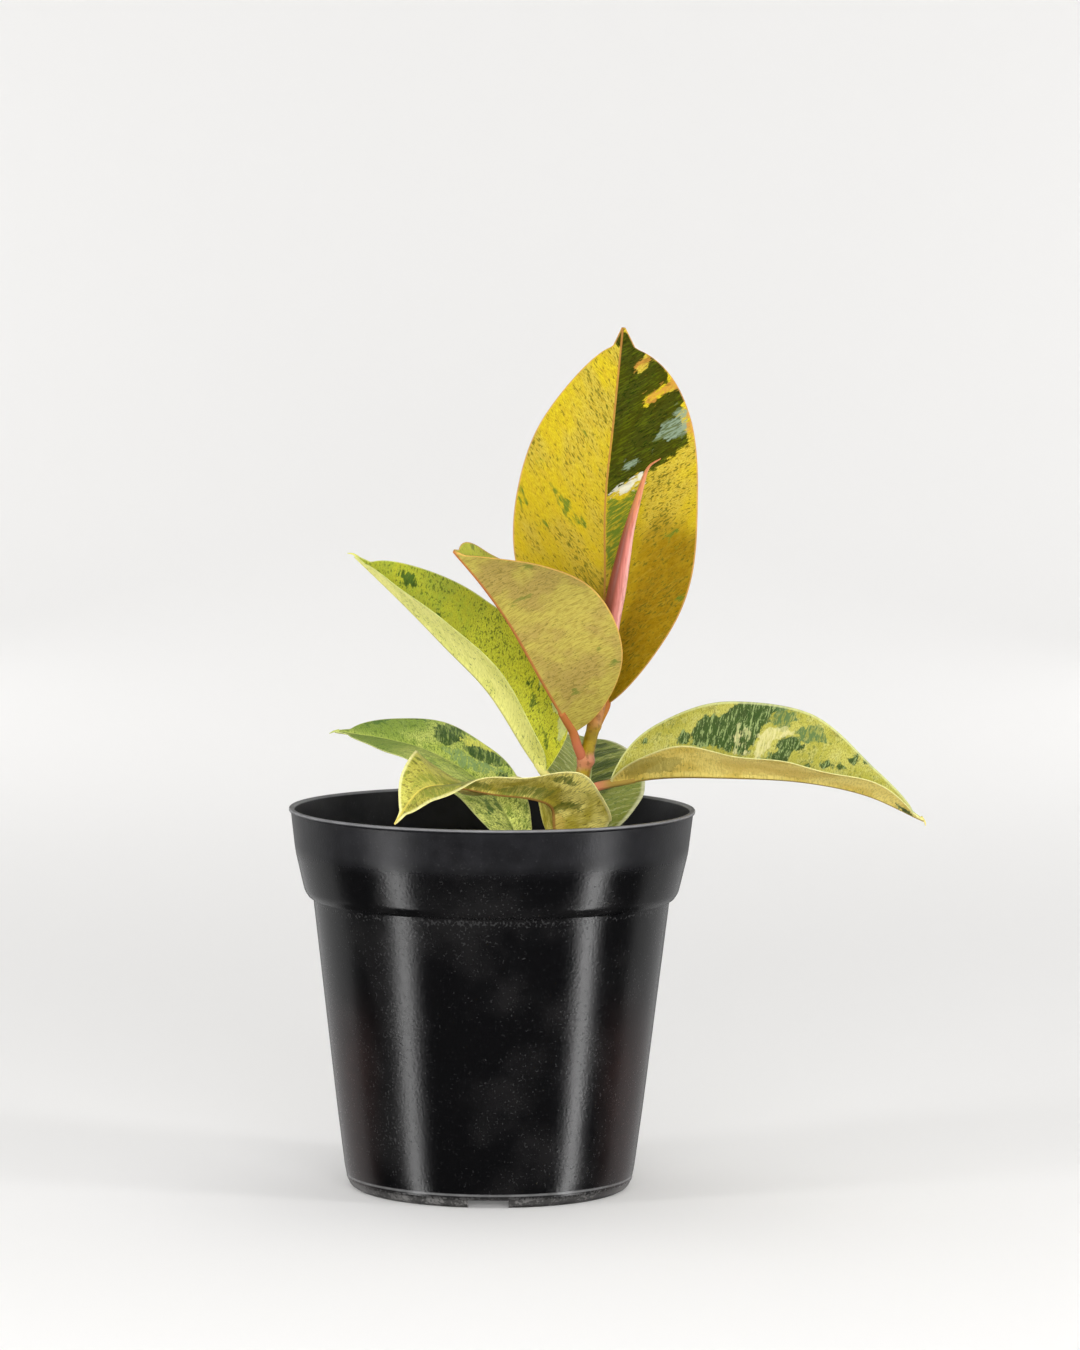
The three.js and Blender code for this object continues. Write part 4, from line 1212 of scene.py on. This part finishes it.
# Left arching leaf. It arches up to the left and is seen nearly edge on: the flecked upper face of
# one half, and a pale yellow-green strip of the other half's underside.
grow_leaf("leaf_left_arching", "left_arching_leaf", {
    "midrib": [
        (19.5, 0, 154.5), (13, 2, 163), (-1, 6, 184), (-18, 10, 201), (-33.5, 15, 216),
        (-51.5, 20, 232.5),
    ],
    "up": [(0.66, -0.42, 0.62)], "half_width": 30, "base": 0.7, "widest": 0.5, "vein_slope": (0.5, 0.5),
    "petiole": [(30.5, 0, 139), (25.5, 0, 147)], "petiole_radius": 1.8,
    "hair": [(-50.5, 20, 232), (-52.5, 20, 233.2), (-54.6, 20, 233.5)],
    "left": {"fold": [60, 50, 47, 40, 35, 35], "size": [0.8, 0.72, 0.8, 1, 1, 1], "wave": (0, 0, 0)},
    "right": {
        "fold": [35], "size": [1.1, 1, 1, 0.87, 0.84, 0.7], "wave": (0.6, 3, 0.2),
        "marks": {
            "dark": [
                [(6, 92), (9, 91), (12, 88), (8, 85), (5, 87)], [(5, 71), (7, 71), (7, 69), (5, 69)],
                [(14, 31), (17, 31), (15, 27), (13, 28)],
            ],
            "green": [
                [(12, 27), (15, 27), (12, 23), (10, 23)], [(6, 11), (9, 11), (8, 8), (6, 8)],
                [(18, 24), (20, 24), (18, 20)],
            ],
            "cream": [[(19, 30), (22, 31), (26, 26), (22, 18), (17, 8), (13, 7), (17, 16), (19, 24)]],
            # Painted light: this tint brightens the half near its base to yellow where the folded leaf
            # shades it.
            "tint": [[(0, -6), (14, -4), (24, 14), (30, 40), (24, 60), (0, 56)]],
        },
    },
}, {
    "seed": 31.0, "base": (178, 180, 48), "second": (158, 168, 54), "dash_from": 0.64, "dot_from": 0.59,
    "fleck": (78, 92, 28), "haze": (146, 168, 52), "haze_share": 0.5, "grain": (146, 146, 34),
    "under": (238, 234, 140), "under_second": (226, 224, 126), "under_grain": (200, 198, 104),
    "dark": (52, 86, 28), "cream": (216, 224, 150), "dark_streak": (104, 128, 44),
    # The tint colour is the painted light near the base of this leaf.
    "margin": (208, 212, 130), "cream_share": 0.7, "tint": (222, 222, 62), "tint_share": 0.6,
    "under_margin": (196, 204, 126), "rib": (206, 204, 110), "keel": (206, 200, 120),
    "stalk": (186, 160, 80), "ray": (206, 208, 100),
})


# Lower left leaf. Mostly mid green, it reaches out to the left over the lip, with dark patches near
# its middle and paler, yellower tissue round them.
grow_leaf("leaf_left_low", "lower_left_leaf", {
    "midrib": [
        (13.5, -2, 121), (7.5, 2, 134.5), (0, 8, 145.5), (-11, 14, 154), (-25, 20, 160.5), (-40, 25, 164),
        (-59, 28, 166.5),
    ],
    "up": [(0.2, -0.3, 0.9)], "half_width": 25, "base": 0.7, "widest": 0.5, "vein_slope": (0.5, 0.5),
    "petiole": [(27.5, 0, 117), (20, -1, 117.5)], "petiole_radius": 1.7,
    "hair": [(-57.5, 27.8, 166.6), (-59.5, 28, 166.2), (-61.2, 28, 165.4)],
    "left": {
        "fold": [10], "size": [1], "wave": (0.6, 3, 0.4),
        "marks": {
            "tint": [[(0, 66), (25, 66), (24, 76), (12, 94), (0, 104)]],
            "green": [[(7, 27), (10, 27), (11, 21), (8, 21)], [(1, 28), (4, 27), (4, 21), (1, 21)]],
        },
    },
    "right": {
        "fold": [8], "size": [0.6, 0.62, 0.67, 0.79, 0.97, 1, 1], "wave": (0.6, 3, 0),
        "marks": {
            "tint": [[(0, 72), (25, 66), (24, 76), (12, 94), (0, 104)]],
            "dark": [
                [(16, 66), (21, 64), (22, 58), (16, 54), (7, 56), (7, 61)],
                [(13, 54), (19, 51), (18, 42), (16, 36), (10, 39), (7, 47)],
                [(4, 33), (10, 36), (12, 32), (6, 28)], [(17, 78), (20, 76), (18, 72)],
            ],
            "green": [
                [(7, 90), (10, 87), (13, 84), (15, 80), (10, 81), (7, 86)],
                [(19, 73), (21, 70), (18, 70)],
            ],
            "grey": [[(4, 58), (8, 53), (8, 44), (11, 36), (4, 38), (0, 48)]],
            "warm": [[(15, 55), (20, 54), (21, 50), (20, 44), (16, 47), (13, 51)]],
        },
    },
}, {
    "seed": 41.0, "base": (200, 208, 112), "second": (184, 198, 90), "dash_from": 0.6, "dot_from": 0.6,
    "fleck": (84, 112, 40), "haze": (122, 148, 56), "haze_share": 0.6, "grain": (120, 140, 50),
    "grain_share": 0.7, "tint": (116, 146, 50), "tint_share": 0.8, "warm": (214, 214, 92),
    "warm_gaps": 0.4, "green": (78, 112, 40), "dark": (38, 72, 26), "dark_second": (24, 52, 16),
    "dark_gaps": 0.35, "dark_streak": (150, 172, 108), "grey": (128, 154, 96), "grey_gaps": 0.85,
    # Painted light: the low colour brightens the blade near its base, where the front leaf shades it.
    "low": (236, 240, 136), "low_share": 0.8, "low_reach": (18, 40), "under": (168, 184, 104),
    "under_second": (156, 172, 96), "under_grain": (136, 154, 80), "margin": (196, 200, 130),
    "rib": (184, 192, 112), "rib_share": 0.5, "keel": (190, 190, 110), "stalk": (190, 170, 90),
    "ray": (196, 206, 130), "under_margin": (196, 200, 130),
})


# Right leaf. The longest one, it reaches far to the right and arches over. Its far half is pale
# with large dark green patches; its near half hangs with the olive underside out.
grow_leaf("leaf_right", "right_leaf", {
    "midrib": [
        (43.5, -4, 151.5), (62, -6, 154.5), (85.5, -10, 155), (113, -14, 154), (137, -18, 149.5),
        (158.5, -20, 140),
    ],
    "up": [(0, -0.25, 0.95)], "half_width": 31, "base": 0.7, "widest": 0.5, "vein_slope": (0.1, 0.1),
    "petiole": [(32, 0, 145.5), (37.5, -3, 149)], "petiole_radius": 1.9,
    "hair": [(157.2, -20, 141.2), (158.6, -20, 139.4), (159, -20, 137.8)],
    "left": {
        "fold": [42, 42, 42, 42, 40, 35], "size": [1.15, 1.08, 1.03, 0.9, 0.5, 0.3],
        "wave": (0.8, 3, 0.3),
        "marks": {
            "dark": [
                [
                    (12, 24), (15, 25), (18, 26), (17, 28), (14, 29), (18, 30), (22, 31), (24, 34),
                    (24, 38), (26, 42), (28, 43), (30, 45), (32, 50), (31, 60), (29, 63), (27, 59),
                    (24, 57), (20, 55), (16, 54), (12, 52), (8, 50), (9, 46), (10, 40), (11, 34),
                    (12, 30),
                ],
                [
                    (7, 54), (9, 57), (10, 61), (14, 61), (17, 63), (17, 66), (15, 69), (13, 70),
                    (10, 67), (7, 65), (5, 64), (6, 60),
                ],
                [(5, 71), (7, 71), (7, 73), (5, 73)], [(6, 76), (8, 76), (9, 79), (8, 81), (6, 81)],
                [(6, 82), (9, 82), (9, 86), (7, 86)], [(10, 85), (12, 86), (13, 89), (10, 89)],
                [(15, 89), (15, 92), (14, 95), (11, 95), (12, 91)],
                [(13, 12), (15, 13), (15, 15), (13, 15)], [(1, 110), (1, 114), (0, 115), (0, 110)],
            ],
            "grey": [
                [(29, 60), (28, 65), (24, 66), (20, 65), (19, 61), (22, 58), (26, 58)],
                [
                    (17, 66), (19, 67), (22, 70), (22, 73), (20, 77), (17, 77), (15, 75), (15, 72),
                    (15, 69),
                ],
            ],
            "green": [[(19, 78), (21, 78), (21, 81)], [(25, 34), (27, 34), (27, 36), (25, 36)]],
            "cream": [
                [(20, 45), (21, 46), (18, 47), (8, 46), (8, 45)], [(19, 49), (18, 51), (8, 50), (8, 49)],
                [(17, 54), (20, 58), (20, 66), (17, 66), (15, 60), (8, 56), (6, 53), (12, 53)],
            ],
        },
    },
    "right": {
        "fold": [46, 46, 40, 30, 36, 35], "size": [1, 0.95, 0.88, 0.95, 0.9, 0.8],
        "wave": (1.2, 3.5, 0.2),
        "marks": {
            "dark": [[(4, 107), (3, 113), (0, 115), (0, 110)]],
            "green": [
                [(4, 33), (6, 33), (6, 37), (4, 37)], [(2, 6), (14, 8), (16, 20), (12, 30), (3, 24)],
            ],
            "warm": [[(3, 42), (16, 42), (22, 60), (20, 72), (4, 72)]],
            # Painted shade: this tint darkens the inside of the upper face where the margin curls toward
            # the front and shades it.
            "tint": [[
                (0, 70), (6, 74), (12, 78), (15, 81), (17, 85), (14, 88), (8, 88), (2, 86), (0, 79),
            ]],
        },
    },
}, {
    "seed": 51.0, "base": (184, 178, 88), "second": (168, 164, 68), "dash_from": 0.64, "dot_from": 0.63,
    "fleck": (112, 118, 50), "haze": (190, 188, 116), "haze_share": 0.5, "grain": (138, 136, 50),
    "grain_share": 0.65, "dark": (30, 66, 28), "dark_second": (20, 48, 20),
    "dark_streak": (168, 186, 120), "dark_streak_share": 0.6, "grey": (80, 108, 64), "grey_gaps": 0.6,
    "green": (112, 104, 36), "green_share": 0.45, "cream": (206, 200, 140), "cream_gaps": 0.6,
    "cream_share": 0.85, "warm": (204, 174, 84), "warm_share": 0.55, "warm_gaps": 0.4,
    "under": (226, 206, 112), "under_second": (210, 184, 86), "under_grain": (160, 140, 60),
    "under_grain_share": 0.4, "margin": (204, 208, 146), "margin_width": 1.4, "tint_share": 0.6,
    "under_margin": (216, 210, 144), "rib": (206, 190, 110), "keel": (150, 126, 58),
    "stalk": (204, 128, 96), "ray": (220, 220, 150),
})


# Front leaf. It rises over the lip, bends to the left and droops to a small pointed lobe, yellow
# with pale margins. Its near half shows the underside.
grow_leaf("leaf_front", "front_leaf", {
    "midrib": [
        (24, -10, 128), (23.5, -14, 136.5), (22, -22, 145), (14, -36, 149.5), (1.5, -48, 152),
        (-13, -60, 155.5), (-25, -70, 155), (-34.5, -74, 143),
    ],
    "up": [
        (0.56, 0.8, 0.2), (0.56, 0.8, 0.2), (0.45, 0.75, 0.5), (0.05, 0.2, 1), (0, 0, 1),
        (-0.05, -0.35, 1), (-0.15, -0.88, 0.5), (-0.5, -0.8, 0),
    ],
    "half_width": 26, "base": 0.5, "widest": 0.42, "vein_slope": (0.4, 0.4),
    "petiole": [(28.5, 0, 123), (25.5, -5.5, 123.5)], "petiole_radius": 1.8, "camber": 0.5,
    "left": {
        "fold": [34, 34, 20, 20, 24, 26, 20, 20], "size": [1, 1, 0.8, 0.86, 0.74, 0.62, 0.6, 0.8],
        "wave": (0.8, 4, 0.5),
        "marks": {
            "green": [
                [(17, 42), (19, 38), (18, 34), (15, 32), (13, 35), (14, 40)],
                # Painted shade: this second green outline is the shadow of the bend across the near half.
                [(0, 21), (4, 22), (10, 21), (10, 18), (4, 17), (0, 17)],
            ],
            # Painted shade: the grey outlines darken the olive strip along the midrib, where the half is
            # shaded.
            "grey": [
                [(1, 60), (6, 62), (10, 76), (8, 90), (2, 96)],
                [(0, 30), (7, 32), (8, 52), (3, 58), (0, 56)],
            ],
            # Painted shade: this warm outline darkens the blade to orange brown beside the keel near the
            # base.
            "warm": [[(0, 15), (3, 14), (4, 6), (0, 2)]],
        },
    },
    "right": {
        "fold": [34, 34, 15, 2, -4, 10, 15, 20], "size": [1, 1, 0.9, 0.8, 0.85, 1.08, 0.74, 0.2],
        "wave": (0, 0, 0),
        "marks": {
            "green": [[(11, 86), (13, 86), (12, 84)], [(8, 89), (9, 91), (8, 91)]],
            # Painted shade: this grey outline darkens the blade along the midrib.
            "grey": [[(1, 72), (5, 74), (5, 84), (3, 92), (1, 92)]],
        },
    },
}, {
    "seed": 61.0, "base": (190, 186, 88), "second": (170, 166, 72), "dash_from": 0.6, "dot_from": 0.61,
    "fleck": (104, 98, 38), "haze": (144, 144, 56), "haze_share": 0.75, "grain": (146, 140, 54),
    "green": (92, 104, 36), "grey": (128, 136, 52), "warm": (206, 168, 70), "warm_share": 0.5,
    "under": (246, 232, 128), "under_second": (186, 170, 58), "under_grain": (160, 142, 52),
    "under_grain_share": 0.6, "margin": (228, 222, 156), "margin_width": 1.5,
    "under_margin": (230, 222, 152), "keel": (160, 112, 56), "keel_width": 0.9, "rib": (200, 184, 84),
    "ray": (224, 214, 130),
})


# Back leaf. Low, dark green between cream veins, with a pale margin, it points away from the camera,
# its upper face tilted to the front.
grow_leaf("leaf_back", "back_leaf", {
    "midrib": [(32.5, 8, 127), (34, 20, 135.5), (36, 40, 144.5), (37, 62, 153), (36, 90, 159.5)],
    "up": [(0, -0.6, 0.8)], "half_width": 21, "base": 0.6, "widest": 0.5, "vein_slope": (0.5, 0.5),
    "petiole": [(28.5, 0, 120), (30.5, 4.5, 122)], "petiole_radius": 1.7,
    "left": {"fold": [30], "size": [1], "wave": (0, 0, 0)},
    "right": {
        "fold": [5], "size": [1], "wave": (0.6, 3, 0.3),
        "marks": {
            "dark": [
                [(-2, 36), (6, 39), (12, 44), (9, 47), (-2, 45)],
                [(-2, 47), (7, 50), (13, 56), (9, 59), (-2, 55)],
                [(-2, 60), (6, 62), (13, 67), (10, 70), (-2, 67)], [(0, 70), (7, 72), (6, 77), (0, 76)],
                [(-2, 27), (6, 31), (10, 36), (-2, 34)],
            ],
        },
    },
}, {
    "seed": 71.0, "base": (122, 126, 46), "second": (150, 156, 74), "dash_from": 0.61, "dot_from": 0.62,
    "fleck": (96, 118, 50), "haze": (128, 144, 58), "haze_share": 0.45, "grain": (130, 148, 62),
    "ray": (212, 212, 150), "ray_share": 0.6, "under": (168, 184, 112), "under_second": (158, 172, 104),
    "under_grain": (140, 156, 90), "dark": (64, 82, 24), "dark_second": (48, 64, 18),
    "dark_streak": (160, 170, 96), "dark_gaps": 0.35, "margin": (220, 220, 180), "margin_width": 1.8,
    "under_margin": (220, 220, 180), "rib": (196, 204, 140), "keel": (200, 190, 130),
    "stalk": (210, 190, 140),
})
